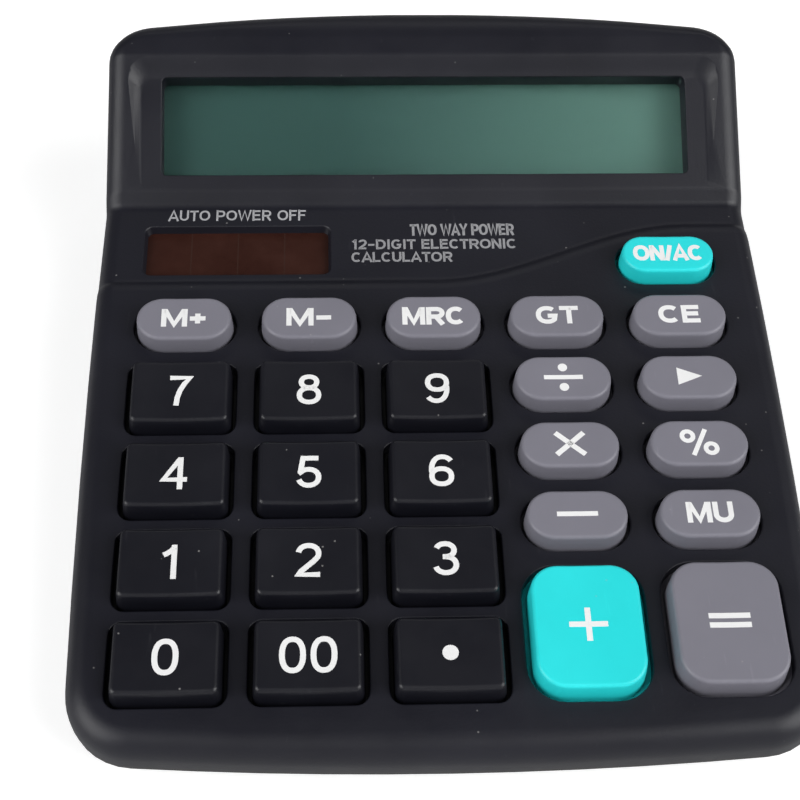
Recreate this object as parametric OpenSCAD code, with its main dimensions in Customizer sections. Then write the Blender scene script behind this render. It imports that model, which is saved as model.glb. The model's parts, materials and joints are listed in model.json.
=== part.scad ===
// Desk calculator with a sloping keyboard, a raised display head, a solar cell
// and one AA cell behind a sliding door in the base.
// Millimetres.  +X is to the right, +Y to the back, +Z up, and the origin is on the
// table under the middle of the case.
// The keyboard is drawn in its own deck frame: x to the right, y up the keyboard,
// z square out of the key tops, with the origin on the top of key 9.
// The display is drawn in a face frame that lies in the floor of the display tray.

/* [Case] */
// Width of the case at its widest
case_w = 118.8; // [118.4:0.1:119.2]
// Front edge of the case, in the deck frame
front_y = -64; // [-64.4:0.1:-63.8]
// Back wall of the case, in the deck frame
back_y = 79.5; // [79.2:0.1:80]
// Radius of the front corners in plan
front_corner_r = 11; // [10:0.5:12]
// Radius of the back corners in plan
back_corner_r = 9; // [8.5:0.5:10]
// Wall thickness of both shells
wall = 2; // [1.8:0.1:2.1]
// Slope of the keyboard above the table
deck_tilt = 5; // [4.8:0.1:5.2]
// Height of the front of the deck plate above the table
deck_front_h = 12.1; // [12:0.1:12.4]

/* [Display] */
// Slope of the display above the keyboard
face_tilt = 26; // [25.5:0.1:26.5]
// Width of the display window
window_w = 97.2; // [96:0.2:98]
// Height of the display window
window_h = 18.6; // [18:0.1:19]
// Depth of the walls round the display window
window_depth = 4.5; // [4.2:0.1:4.6]

/* [Keys] */
// Spacing of the key columns
col_pitch = 21.5; // [21.4:0.1:21.6]
// Spacing of the digit rows
row_pitch = 16.125; // [16.1:0.025:16.2]
// Height of the key tops above the deck plate
key_rise = 2.9; // [2.7:0.1:3]
// How far a key goes down
key_travel = 1.2; // [1:0.1:1.3]
// Gap between a key and its pocket
key_gap = 0.3; // [0.25:0.05:0.35]

/* [Battery] */
// Diameter of the AA cell
cell_d = 14.5; // [14.3:0.1:14.5]
// Width of the battery door
door_w = 58; // [57:0.5:58]
// How far the battery door slides out
door_travel = 20; // [16:1:22]

/* [Hidden] */
$fn = 48;

// ---- heights in the deck frame
plate_z = -key_rise;
plate_under_z = plate_z - wall;
strip_z = plate_z - 0.9;
solar_seat_z = strip_z - 1.5;
part_z = plate_z - 6.1;
flange_top_z = plate_under_z - 0.3;
flange_t = 1;
mat_top_z = -7.3;
sheet_top_z = -9.7;
board_top_z = -10.5;
board_t = 1.6;

// ---- the deck frame on the table
table_z0 = deck_front_h + 60 * sin(deck_tilt) + key_rise * cos(deck_tilt);
table_y0 = -8.962;
foot_h = 1;
floor_t = 1.6;
floor_z = foot_h + floor_t;

// ---- plan outline of the case
side_arc_r = 2000;
front_arc_r = 650;
back_arc_r = 430;
side_mid_y = 8;

// ---- display head, in the deck frame
strip_end_y = 43;
tray_foot = [45, -1.8];
rim_start = [45.5, -1.45];
rim_end = [67.35, 11];
crown_c = [73.3, 6.6];
crown_r = 6;

// ---- display tray, in the face frame
tray_half_w = 52.7;
tray_slope_w = 2.7;
tray_slope_h = 1.71;
tray_end_y = 22.1;
tray_end_slope = 3.6;
window_y = 12.4;
lens_t = 1;
glass_t = 1.2;
lcd_top_z = -window_depth - lens_t - 0.1;
retainer_z = lcd_top_z - 2 * glass_t - 0.1;
retainer_t = 1.5;
lcd_post_x = 53.6;
lcd_post_y = [6, 19];

// ---- solar cell opening, in the deck frame
solar_x = -34.5;
solar_y = 32.8;
solar_w = 33.6;
solar_h = 11.2;

// ---- the curved step between the deck plate and the solar strip
step_low_y = 25.5;
step_high_y = 38;
step_run_x = 46;

// ---- screw posts
board_post_x = [-1.5, -0.5, 0.5, 1.5] * col_pitch;
board_post_y = 10.2;
tab_post_x = 24;
tab_post_y = -58.3;
tab_post_r = 1.6;
case_posts = [[46, -66.2], [54.2, 14.7], [51, 64.4]];
post_r = 1.9;
case_post_r = 2.4;
screw_core_r = 0.8;
case_screw_core_r = 0.95;

// ---- battery bay, on the table
bay_y = 60;
bay_half_l = 30;
bay_wall = 1.5;
slide_gap = 0.25;
door_t = 2.1;
rail_w = 2;
rail_z = foot_h + 0.9;
door_front_y = 50.5;
cell_z = foot_h + door_t + 0.35 + cell_d / 2;
cell_x0 = -26.4;
cell_l = 49.2;
nub_l = 1.2;
bay_r = cell_d / 2 + 0.5;

// ---- keys: name, x, y, kind.  Kinds: digit, pill, tall, start
c0 = -2 * col_pitch;
c1 = -col_pitch;
c2 = 0;
c3 = col_pitch - 0.1;
c4 = 2 * col_pitch - 0.2;
digit_rows = [for (i = [0:3]) -i * row_pitch];
pill_rows = [15, 1.87, -11.39, -24.66];
KEYS = [
    ["key_7", c0, digit_rows[0], "digit"],
    ["key_8", c1, digit_rows[0], "digit"],
    ["key_9", c2, digit_rows[0], "digit"],
    ["key_4", c0, digit_rows[1], "digit"],
    ["key_5", c1, digit_rows[1], "digit"],
    ["key_6", c2, digit_rows[1], "digit"],
    ["key_1", c0, digit_rows[2], "digit"],
    ["key_2", c1, digit_rows[2], "digit"],
    ["key_3", c2, digit_rows[2], "digit"],
    ["key_0", c0, digit_rows[3], "digit"],
    ["key_00", c1, digit_rows[3], "digit"],
    ["key_point", c2, digit_rows[3], "digit"],
    ["key_m_plus", c0, pill_rows[0], "pill"],
    ["key_m_minus", c1, pill_rows[0], "pill"],
    ["key_mrc", c2, pill_rows[0], "pill"],
    ["key_gt", c3, pill_rows[0], "pill"],
    ["key_ce", c4, pill_rows[0], "pill"],
    ["key_divide", c3, pill_rows[1], "pill"],
    ["key_arrow", c4, pill_rows[1], "pill"],
    ["key_multiply", c3, pill_rows[2], "pill"],
    ["key_percent", c4, pill_rows[2], "pill"],
    ["key_minus", c3, pill_rows[3], "pill"],
    ["key_mu", c4, pill_rows[3], "pill"],
    ["key_on_ac", c4 - 0.4, 28.6, "start"],
    ["key_plus", c3, -44, "tall"],
    ["key_equals", c4 + 0.5, -43.7, "tall"]
];

// Width, height, corner radius and base spread of each kind of key
function key_size(kind) =
    kind == "digit" ? [16.25, 12.06, 0.9, 0.8] :
    kind == "pill" ? [16.25, 8.8, 4.4, 0.55] :
    kind == "start" ? [16.4, 8, 4, 0.55] :
    [17.2, 20.7, 4.6, 0.8];

function key_color(name, kind) =
    name == "key_plus" || name == "key_on_ac" ? [0.09, 0.75, 0.71] :
    kind == "digit" ? [0.05, 0.05, 0.06] : [0.45, 0.43, 0.46];

// ---- plan outline from five arcs a side, set in by a distance
function arc(c, r, a0, a1, n) =
    [for (i = [0:n]) c + r * [cos(a0 + (a1 - a0) * i / n), sin(a0 + (a1 - a0) * i / n)]];

function circles_meet(p, rp, q, rq, side) =
    let (d = norm(q - p), a = (rp * rp - rq * rq + d * d) / (2 * d))
    let (h = sqrt(rp * rp - a * a), e = (q - p) / d)
    p + a * e + side * h * [-e[1], e[0]];

function angle_of(v) = atan2(v[1], v[0]);

function half_outline(inset) =
    let (side_c = [case_w / 2 - side_arc_r, side_mid_y])
    let (front_c = [0, front_y + front_arc_r], back_c = [0, back_y - back_arc_r])
    let (fc = circles_meet(side_c, side_arc_r - front_corner_r,
                           front_c, front_arc_r - front_corner_r, -1))
    let (bc = circles_meet(side_c, side_arc_r - back_corner_r,
                           back_c, back_arc_r - back_corner_r, 1))
    let (front_a = angle_of(fc - front_c), side_a0 = angle_of(fc - side_c))
    let (side_a1 = angle_of(bc - side_c), back_a = angle_of(bc - back_c))
    concat(
        arc(front_c, front_arc_r - inset, -90, front_a, 5),
        arc(fc, front_corner_r - inset, front_a, side_a0, 8),
        arc(side_c, side_arc_r - inset, side_a0, side_a1, 6),
        arc(bc, back_corner_r - inset, side_a1, back_a, 8),
        arc(back_c, back_arc_r - inset, back_a, 90, 6)
    );

function no_repeats(p) =
    [for (i = [0:len(p) - 1]) if (i == 0 || norm(p[i] - p[i - 1]) > 0.01) p[i]];

module case_outline(inset = 0) {
    right = no_repeats(half_outline(inset));
    left = [for (i = [len(right) - 2:-1:1]) [-right[i][0], right[i][1]]];
    polygon(concat(right, left));
}

// ---- frames
module on_deck() {
    translate([0, table_y0, table_z0])
        rotate([deck_tilt, 0, 0])
            children();
}

module on_face() {
    on_deck()
        translate([0, tray_foot[0], tray_foot[1]])
            rotate([face_tilt, 0, 0])
                children();
}

// A side profile, drawn as (y, z), run out along X
module along_x(w) {
    rotate([90, 0, 90])
        linear_extrude(w, center = true)
            children();
}

// A front profile, drawn as (x, z), run out along Y
module along_y(l) {
    rotate([90, 0, 0])
        linear_extrude(l, center = true)
            children();
}

module rounded(w, h, r) {
    square([w - 2 * r, h], center = true);
    if (h > 2 * r)
        square([w, h - 2 * r], center = true);
    for (sx = [-1, 1], sy = [-1, 1])
        translate([sx * (w / 2 - r), sy * (h / 2 - r)])
            circle(r);
}

// ---- profiles of the upper case, as (y, z) in the deck frame
function crown(c, r, a0) = arc(c, r, a0, 0, 8);

module top_profile() {
    polygon(concat(
        [[front_y - 2, part_z], [front_y, part_z]],
        arc([front_y + 4, plate_z - 4], 4, 180, 90, 6),
        [[strip_end_y + strip_z - plate_z + 1.8, plate_z], tray_foot, rim_start, rim_end],
        crown(crown_c, crown_r, 105),
        [[back_y, crown_c[1]], [back_y, part_z]]
    ));
}

module cavity_profile() {
    polygon(concat(
        [[front_y - 2, part_z - 1], [front_y, plate_under_z], [43.6, plate_under_z], [45.9, -3.6]],
        [[66.4, 6.4], [68.4, 8.9]],
        crown(crown_c, crown_r - wall, 105),
        [[back_y, crown_c[1]], [back_y, part_z - 1]]
    ));
}

// Everything that lies inside the outer skin of the upper case
module upper_outer() {
    on_deck()
        difference() {
            intersection() {
                translate([0, 0, part_z])
                    linear_extrude(40)
                        case_outline();
                along_x(case_w + 10)
                    top_profile();
            }
            side_chamfers();
        }
}

module side_chamfers() {
    cut = 3;
    for (s = [-1, 1]) {
        translate([s * (case_w / 2 + 0.3), -10, plate_z])
            rotate([0, 45, 0])
                cube([cut, 112, cut], center = true);
        translate([s * (case_w / 2 - 0.4), rim_start[0], rim_start[1]])
            rotate([atan2(rim_end[1] - rim_start[1], rim_end[0] - rim_start[0]), 0, 0])
                translate([0, 20, 0])
                    rotate([0, 45, 0])
                        cube([cut, 40, cut], center = true);
    }
}

// The region behind the curved step, in plan
module strip_plan() {
    far = strip_end_y + 6;
    steps = [for (i = [0:10]) i / 10];
    polygon(concat(
        [[-case_w, far], [-case_w, step_low_y]],
        [for (t = steps)
            [t * step_run_x, step_low_y + (step_high_y - step_low_y) * (1 - cos(180 * t)) / 2]],
        [[case_w, step_high_y], [case_w, far]]
    ));
}

module strip_cut() {
    intersection() {
        translate([0, 0, -10])
            linear_extrude(20)
                strip_plan();
        along_x(case_w + 10)
            polygon([[20, strip_z], [strip_end_y, strip_z], [strip_end_y + 3, strip_z + 3], [20, 3]]);
    }
}

module tray_cut() {
    k = 3;
    intersection() {
        along_x(case_w + 10)
            polygon([[-6, 0], [tray_end_y, 0],
                     [tray_end_y + k * tray_end_slope, k * tray_slope_h], [-6, k * tray_slope_h]]);
        along_y(90)
            polygon([[-tray_half_w, 0], [tray_half_w, 0],
                     [tray_half_w + k * tray_slope_w, k * tray_slope_h],
                     [-tray_half_w - k * tray_slope_w, k * tray_slope_h]]);
    }
}

module pocket(k) {
    s = key_size(k[3]);
    grow = 2 * (s[3] + key_gap);
    translate([k[1], k[2], plate_under_z - 1])
        linear_extrude(wall + 3)
            rounded(s[0] + grow, s[1] + grow, min(s[2] + grow / 2, s[1] / 2 + grow / 2));
}

// Posts that hang from the inside of the upper case
module upper_posts() {
    on_deck() {
        for (x = board_post_x)
            post(x, board_post_y, board_top_z, plate_z - 1, post_r);
        for (x = [-tab_post_x, tab_post_x])
            post(x, tab_post_y, board_top_z, plate_z - 1, tab_post_r);
    }
    on_face()
        for (x = [-lcd_post_x, lcd_post_x], y = lcd_post_y)
            post(x, y, retainer_z, -0.5, post_r);
    difference() {
        for (s = [-1, 1], p = case_posts)
            post(s * p[0], p[1], part_height(p[1]) - 0.5, 50, case_post_r);
        on_deck()
            for (k = KEYS)
                key_room(k);
    }
}

// Room for the flange of a key all the way down its travel
module key_room(k) {
    s = key_size(k[3]);
    grow = 2 * (s[3] + key_gap) + 1.8;
    translate([k[1], k[2], flange_top_z - flange_t - key_travel - 0.4])
        linear_extrude(flange_t + key_travel + 0.6)
            square([s[0] + grow, s[1] + grow], center = true);
}

// Height above the table of the joint between the shells, at a table y
function part_height(y) =
    table_z0 + part_z / cos(deck_tilt) + (y - table_y0) * tan(deck_tilt);

module post(x, y, z0, z1, r) {
    translate([x, y, z0])
        cylinder(h = z1 - z0, r = r);
}

module upper_post_bores() {
    on_deck() {
        for (x = board_post_x)
            post(x, board_post_y, board_top_z - 1, plate_under_z - 0.3, screw_core_r);
        for (x = [-tab_post_x, tab_post_x])
            post(x, tab_post_y, board_top_z - 1, plate_under_z - 0.3, screw_core_r);
    }
    on_face()
        for (x = [-lcd_post_x, lcd_post_x], y = lcd_post_y)
            post(x, y, retainer_z - 1, -2.3, screw_core_r);
    for (s = [-1, 1], p = case_posts)
        post(s * p[0], p[1], part_height(p[1]) - 2, part_height(p[1]) + 3.4, case_screw_core_r);
}

module upper_case() {
    color([0.07, 0.07, 0.08])
        difference() {
            union() {
                difference() {
                    upper_outer();
                    on_deck()
                        intersection() {
                            translate([0, 0, part_z - 1])
                                linear_extrude(40)
                                    case_outline(wall);
                            along_x(case_w)
                                cavity_profile();
                        }
                }
                intersection() {
                    upper_outer();
                    union() {
                        upper_posts();
                        on_face()
                            translate([0, window_y, -window_depth])
                                linear_extrude(window_depth)
                                    square([window_w + 3, window_h + 3], center = true);
                        on_deck()
                            translate([solar_x, solar_y, solar_seat_z])
                                linear_extrude(strip_z - solar_seat_z)
                                    square([solar_w + 3, solar_h + 3], center = true);
                    }
                }
            }
            upper_post_bores();
            on_deck() {
                strip_cut();
                for (k = KEYS)
                    pocket(k);
                translate([solar_x, solar_y, solar_seat_z - 1])
                    linear_extrude(6)
                        rounded(solar_w, solar_h, 1.5);
            }
            on_face() {
                tray_cut();
                translate([0, window_y, -window_depth - 1])
                    linear_extrude(window_depth + 6)
                        rounded(window_w, window_h, 1);
            }
        }
}

// ---- lower case
// Everything that lies inside the outer skin of the lower case
module lower_outer() {
    edge_h = 3.6;
    edge_in = 3;
    intersection() {
        on_deck()
            translate([0, 0, part_z - 40])
                linear_extrude(40)
                    case_outline(0.2);
        union() {
            translate([0, 0, foot_h])
                hull() {
                    translate([0, table_y0 + 2.4, 0])
                        linear_extrude(0.01)
                            case_outline(edge_in);
                    translate([0, table_y0 + 2.4, edge_h])
                        linear_extrude(0.01)
                            case_outline(-0.4);
                }
            translate([-case_w, -100, foot_h + edge_h])
                cube([2 * case_w, 200, 60]);
        }
    }
}

module bay_block(r, l) {
    translate([-l / 2, bay_y, cell_z])
        rotate([0, 90, 0])
            cylinder(h = l, r = r);
    translate([-l / 2, bay_y - r, foot_h])
        cube([l, 2 * r, cell_z - foot_h]);
}

module door_way(gap) {
    l = 40;
    translate([-door_w / 2 - gap, door_front_y - gap, 0])
        cube([door_w + 2 * gap, l, foot_h + door_t + gap]);
    translate([-door_w / 2 - rail_w - gap, door_front_y - gap, rail_z - gap])
        cube([door_w + 2 * (rail_w + gap), l, foot_h + door_t - rail_z + 2 * gap]);
}

module foot_places() {
    for (x = [-47, 47], y = [-58, 45])
        translate([x, y, 0])
            children();
}

module lower_case() {
    color([0.10, 0.10, 0.11])
        difference() {
            union() {
                difference() {
                    lower_outer();
                    intersection() {
                        on_deck()
                            translate([0, 0, -60])
                                linear_extrude(80)
                                    case_outline(wall + 1.1);
                        translate([-case_w, -100, floor_z])
                            cube([2 * case_w, 200, 60]);
                    }
                }
                on_deck()
                    difference() {
                        translate([0, 0, part_z - 1])
                            linear_extrude(2.2)
                                case_outline(wall + 0.1);
                        translate([0, 0, part_z - 2])
                            linear_extrude(5)
                                case_outline(wall + 1.1);
                    }
                intersection() {
                    union() {
                        lower_outer();
                        translate([-bay_half_l - 3, door_front_y, foot_h])
                            cube([2 * bay_half_l + 6, 19, 24]);
                    }
                    union() {
                        bay_block(bay_r + bay_wall, 2 * (bay_half_l + bay_wall));
                        translate([-door_w / 2 - rail_w - 2, door_front_y - 2, foot_h])
                            cube([door_w + 2 * rail_w + 4, 40, door_t + 1.2]);
                    }
                }
                intersection() {
                    lower_outer();
                    for (s = [-1, 1], p = case_posts)
                        post(s * p[0], p[1], 0, part_height(p[1]) - 0.7, case_post_r + 0.8);
                }
            }
            bay_block(bay_r, 2 * bay_half_l);
            door_way(slide_gap);
            for (s = [-1, 1], p = case_posts) {
                post(s * p[0], p[1], 0, 30, case_screw_core_r + 0.3);
                post(s * p[0], p[1], 0, case_head_z(p[1]), 2.2);
            }
            foot_places()
                cylinder(h = foot_h + 0.6, r = 4.1);
            wire_slots();
            // Notches in the lip for the posts of the upper case
            for (s = [-1, 1], p = case_posts)
                post(s * p[0], p[1], part_height(p[1]) - 0.6, 60, case_post_r + 0.2);
            // Hollows in the floor for the front screws of the board
            on_deck()
                for (x = [-tab_post_x, tab_post_x])
                    post(x, tab_post_y, board_top_z - board_t - 1.1, board_top_z, 2);
        }
}

// Height of the seat of a case screw's head
function case_head_z(y) = part_height(y) - 2.4;

module wire_slots() {
    for (s = [-1, 1])
        translate([s * (bay_half_l + 1), bay_y - bay_r, cell_z])
            cube([6, 3.4, 3], center = true);
}

// ---- display parts
module display_window() {
    color([0.8, 0.9, 0.9, 0.35])
        on_face()
            translate([0, window_y, -window_depth - lens_t])
                linear_extrude(lens_t)
                    rounded(window_w + 4, window_h + 3, 1);
}

module lcd_cell() {
    color([0.45, 0.55, 0.50])
        on_face() {
            translate([0, window_y + 0.6, lcd_top_z - glass_t])
                linear_extrude(glass_t)
                    square([window_w + 5.4, window_h + 2.2], center = true);
            translate([0, window_y - 0.6, lcd_top_z - 2 * glass_t])
                linear_extrude(glass_t)
                    square([window_w + 5.4, window_h + 4.6], center = true);
        }
}

module lcd_retainer() {
    color([0.75, 0.75, 0.73])
        on_face()
            difference() {
                union() {
                    translate([0, window_y, retainer_z - retainer_t])
                        linear_extrude(retainer_t)
                            square([window_w + 6, window_h + 4], center = true);
                    for (x = [-lcd_post_x, lcd_post_x], y = lcd_post_y)
                        translate([x, y, retainer_z - retainer_t])
                            linear_extrude(retainer_t)
                                rounded(4, 4.6, 1);
                }
                translate([0, window_y, retainer_z - retainer_t - 1])
                    linear_extrude(retainer_t + 2)
                        rounded(window_w - 8, window_h - 7, 2);
                for (x = [-lcd_post_x, lcd_post_x], y = lcd_post_y)
                    post(x, y, retainer_z - 4, retainer_z + 1, screw_core_r + 0.2);
            }
}

// A pan head screw that points up from the underside of its seat
module pan_screw(core_r, l, head_r, head_h) {
    difference() {
        union() {
            cylinder(h = l, r = core_r);
            translate([0, 0, -head_h])
                cylinder(h = head_h, r = head_r);
        }
        for (a = [0, 90])
            rotate([0, 0, a])
                translate([-head_r * 0.6, -0.18, -head_h - 0.01])
                    cube([head_r * 1.2, 0.36, head_h * 0.5]);
    }
}

module lcd_screws() {
    color("silver")
        on_face()
            for (x = [-lcd_post_x, lcd_post_x], y = lcd_post_y)
                translate([x, y, retainer_z - retainer_t - 0.01])
                    pan_screw(screw_core_r - 0.02, 5, 1.6, 1);
}

// A thin band of even thickness that follows a bent line
function band(p, t) =
    let (n = len(p))
    let (dirs = [for (i = [0:n - 1]) p[min(i + 1, n - 1)] - p[max(i - 1, 0)]])
    let (offs = [for (d = dirs) [-d[1], d[0]] / norm(d) * t / 2])
    concat([for (i = [0:n - 1]) p[i] + offs[i]], [for (i = [n - 1:-1:0]) p[i] - offs[i]]);

function face_to_deck(p) =
    tray_foot + [p[0] * cos(face_tilt) - p[1] * sin(face_tilt),
                 p[0] * sin(face_tilt) + p[1] * cos(face_tilt)];

module lcd_ribbon() {
    ledge_y = window_y - window_h / 2 - 2.9;
    ledge_z = lcd_top_z - glass_t + 0.12;
    start = face_to_deck([ledge_y + 2, ledge_z]);
    edge = face_to_deck([ledge_y - 0.6, ledge_z]);
    route = [start, edge, [44.8, -8.6], [41.5, -9.4], [38, -10.1], [34.6, -10.35], [31.5, -10.36]];
    color([0.85, 0.55, 0.2])
        on_deck()
            along_x(72)
                polygon(band(route, 0.2));
}

module solar_cell() {
    color([0.25, 0.10, 0.07])
        on_deck()
            translate([solar_x, solar_y, solar_seat_z - 1.12])
                linear_extrude(1.1)
                    square([solar_w + 2.4, solar_h + 2.4], center = true);
}

// ---- keyboard electronics
module board_plan() {
    translate([-50.8, -54.5])
        square([101.6, 89.1]);
    translate([-31, -59.75])
        square([62, 8]);
}

module main_board() {
    color([0.55, 0.42, 0.2])
        on_deck()
            difference() {
                translate([0, 0, board_top_z - board_t])
                    linear_extrude(board_t)
                        board_plan();
                board_holes(board_top_z - board_t - 1, board_t + 2);
            }
}

module board_holes(z, h) {
    for (x = board_post_x)
        post(x, board_post_y, z, z + h, screw_core_r + 0.2);
    for (x = [-tab_post_x, tab_post_x])
        post(x, tab_post_y, z, z + h, screw_core_r + 0.2);
}

module board_screws() {
    color("silver")
        on_deck()
            translate([0, 0, board_top_z - board_t - 0.01]) {
                for (x = board_post_x)
                    translate([x, board_post_y, 0])
                        pan_screw(screw_core_r - 0.02, 6, 1.6, 1);
                for (x = [-tab_post_x, tab_post_x])
                    translate([x, tab_post_y, 0])
                        pan_screw(screw_core_r - 0.02, 6, 1.4, 0.45);
            }
}

module controller_blob() {
    color([0.03, 0.03, 0.03])
        on_deck()
            translate([18, 2, board_top_z - board_t])
                rotate([180, 0, 0])
                    rotate_extrude()
                        polygon(concat([[0, 0]], arc([0, -9.4], 12, 51.57, 90, 8)));
}

module capacitor() {
    color([0.1, 0.15, 0.4])
        on_deck()
            translate([-22, 26, board_top_z - board_t - 2.6]) {
                rotate([0, 90, 0])
                    cylinder(h = 9, r = 2.5);
                for (y = [-1, 1])
                    translate([-2, y, 0])
                        rotate([0, 90, 0])
                            cylinder(h = 2, r = 0.25);
                for (y = [-1, 1])
                    translate([-2, y, -0.25])
                        cylinder(h = 2.8, r = 0.25);
            }
}

module diode() {
    color([0.6, 0.25, 0.1])
        on_deck()
            translate([2, 27, board_top_z - board_t - 1.1]) {
                rotate([0, 90, 0])
                    cylinder(h = 4, r = 1, center = true);
                rotate([0, 90, 0])
                    cylinder(h = 9, r = 0.25, center = true);
                for (x = [-4.5, 4.5])
                    translate([x, 0, -0.25])
                        cylinder(h = 1.3, r = 0.25);
            }
}

module key_mat() {
    color([0.75, 0.75, 0.78])
        on_deck()
            difference() {
                union() {
                    translate([-50.4, -54.2, board_top_z])
                        cube([100.8, 87.2, sheet_top_z - board_top_z]);
                    for (k = KEYS)
                        translate([k[1], k[2], sheet_top_z])
                            cylinder(h = mat_top_z - sheet_top_z, r1 = 3.6, r2 = 2.2);
                }
                for (k = KEYS)
                    translate([k[1], k[2], board_top_z - 0.01])
                        cylinder(h = 1.61, r1 = 3, r2 = 2.1);
                for (x = board_post_x)
                    post(x, board_post_y, board_top_z - 1, 0, post_r + 0.3);
                translate([-37, 30.4, board_top_z - 1])
                    cube([74, 5, 5]);
            }
}

module contact_pills() {
    color([0.1, 0.1, 0.1])
        on_deck()
            for (k = KEYS)
                translate([k[1], k[2], board_top_z + 1.2])
                    cylinder(h = 0.4, r = 1.6);
}

// ---- keys
module keycap(k) {
    s = key_size(k[3]);
    base = 2 * s[3];
    skirt = base + 2 * key_gap + 1.4;
    in_r = max(s[2] - 1.2, 0.4);
    color(key_color(k[0], k[3]))
        on_deck()
            translate([k[1], k[2], 0]) {
                difference() {
                    union() {
                        hull() {
                            translate([0, 0, -0.5])
                                linear_extrude(0.5, $fn = 32)
                                    rounded(s[0], s[1], s[2]);
                            translate([0, 0, flange_top_z])
                                linear_extrude(0.01, $fn = 32)
                                    rounded(s[0] + base, s[1] + base, s[2] + base / 2);
                        }
                        translate([0, 0, flange_top_z - flange_t])
                            linear_extrude(flange_t)
                                rounded(s[0] + skirt, s[1] + skirt, s[2] + skirt / 2);
                    }
                    translate([0, 0, flange_top_z - flange_t - 1])
                        linear_extrude(-flange_top_z + flange_t - 0.3)
                            rounded(s[0] - 2.4, s[1] - 2.4, in_r);
                }
                translate([0, 0, mat_top_z])
                    cylinder(h = -mat_top_z - 0.8, r = 1.7);
            }
}

// ---- battery parts
module battery_door() {
    color([0.10, 0.10, 0.11])
        difference() {
            intersection() {
                lower_outer();
                door_way(0);
            }
            for (i = [-3:3])
                translate([i * 2.2, 61, foot_h])
                    cube([0.9, 9, 0.6], center = true);
        }
}

module aa_cell() {
    color([0.75, 0.6, 0.2])
        translate([cell_x0, bay_y, cell_z])
            rotate([0, 90, 0]) {
                cylinder(h = cell_l, r = cell_d / 2);
                translate([0, 0, cell_l])
                    cylinder(h = nub_l, r = 2.75);
            }
}

// A round wire swept along a list of points
function unit(v) = v / norm(v);
function tube_dirs(p) =
    [for (i = [0:len(p) - 1]) unit(p[min(i + 1, len(p) - 1)] - p[max(i - 1, 0)])];
function tube_side(d) = unit(cross(d, abs(d[2]) > 0.9 ? [1, 0, 0] : [0, 0, 1]));

module wire(p, r, sides = 8) {
    n = len(p);
    dirs = tube_dirs(p);
    rings = [for (i = [0:n - 1]) let (a = tube_side(dirs[i]), b = cross(dirs[i], a))
        for (j = [0:sides - 1]) p[i] + r * (cos(360 * j / sides) * a + sin(360 * j / sides) * b)];
    walls = [for (i = [0:n - 2], j = [0:sides - 1])
        let (q = i * sides, m = (j + 1) % sides) [q + j, q + sides + j, q + sides + m, q + m]];
    ends = [[for (j = [0:sides - 1]) j], [for (j = [sides - 1:-1:0]) (n - 1) * sides + j]];
    polyhedron(concat(rings), concat(walls, ends));
}

// A smooth curve through a start and an end with two pulls
function bend(a, b, c, d, n) =
    [for (i = [0:n]) let (t = i / n, u = 1 - t)
        u * u * u * a + 3 * u * u * t * b + 3 * u * t * t * c + t * t * t * d];

module battery_spring() {
    turns = 3;
    x0 = -bay_half_l + 0.5;
    x1 = cell_x0 - 0.32;
    coil = [for (i = [0:turns * 14])
        let (t = i / (turns * 14), a = 360 * turns * t, r = 4 - 1.6 * t)
        [x0 + (x1 - x0) * t, bay_y + r * cos(a), cell_z + r * sin(a)]];
    color("silver") {
        wire(coil, 0.3, 6);
        contact_tab(-1);
    }
}

// The flat of a contact, with a tab for its wire
module contact_tab(side) {
    translate([side * (bay_half_l - 0.22), bay_y, cell_z]) {
        cube([0.4, 10, 10], center = true);
        translate([0, 1.2 - bay_r / 2, 0])
            cube([0.4, bay_r - 2.6, 2.4], center = true);
    }
}

module battery_plate() {
    dimple_x = cell_x0 + cell_l + nub_l + 0.02;
    color("silver") {
        contact_tab(1);
        translate([dimple_x, bay_y, cell_z])
            rotate([0, 90, 0])
                cylinder(h = bay_half_l - 0.3 - dimple_x, r1 = 2, r2 = 3.4);
    }
}

module battery_wire(side, x_end, tint) {
    a = [side * (bay_half_l + 0.02), bay_y - bay_r + 1.1, cell_z];
    d = [x_end, 25.4, 10.45];
    color(tint)
        wire(bend(a, a + [side * 7, -1, 1], d + [0, 12, 0.6], d, 16), 0.55);
}

module battery_wire_red() {
    battery_wire(1, 30, "red");
}

module battery_wire_black() {
    battery_wire(-1, -30, [0.05, 0.05, 0.05]);
}

module solar_wire(x, x_end, tint) {
    a = [x, solar_y + 2.6, solar_seat_z - 1.5];
    d = [x_end, 34.97, board_top_z - 0.8];
    color(tint)
        on_deck()
            wire(bend(a, a + [0, 4, -0.4], d + [0, 3.4, 0.4], d, 12), 0.35);
}

module solar_wire_red() {
    solar_wire(-48.6, -47, "red");
}

module solar_wire_black() {
    solar_wire(-45.6, -44, [0.05, 0.05, 0.05]);
}

module case_screws() {
    color("silver")
        for (s = [-1, 1], p = case_posts)
            translate([s * p[0], p[1], case_head_z(p[1]) - 0.01])
                pan_screw(case_screw_core_r - 0.02, 5.2, 2, 1);
}

module foot(x, y) {
    color([0.15, 0.15, 0.15])
        translate([x, y, 0])
            cylinder(h = foot_h + 0.58, r = 4);
}

upper_case();
lower_case();
display_window();
lcd_cell();
lcd_retainer();
lcd_screws();
lcd_ribbon();
solar_cell();
main_board();
controller_blob();
capacitor();
diode();
key_mat();
contact_pills();
board_screws();
battery_door();
aa_cell();
battery_spring();
battery_plate();
battery_wire_red();
battery_wire_black();
solar_wire_red();
solar_wire_black();
case_screws();
foot(-47, -58);  // foot_front_left
foot(47, -58);  // foot_front_right
foot(-47, 45);  // foot_back_left
foot(47, 45);  // foot_back_right
for (k = KEYS)
    keycap(k);
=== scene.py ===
# %% [markdown]
# # A desk calculator
# The calculator is a sloping keyboard with a raised display head.  The engineering model gives
# every piece its place and its motion.  This script gives the visible pieces their finished
# shapes, edges and surfaces.

import json
import math

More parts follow.
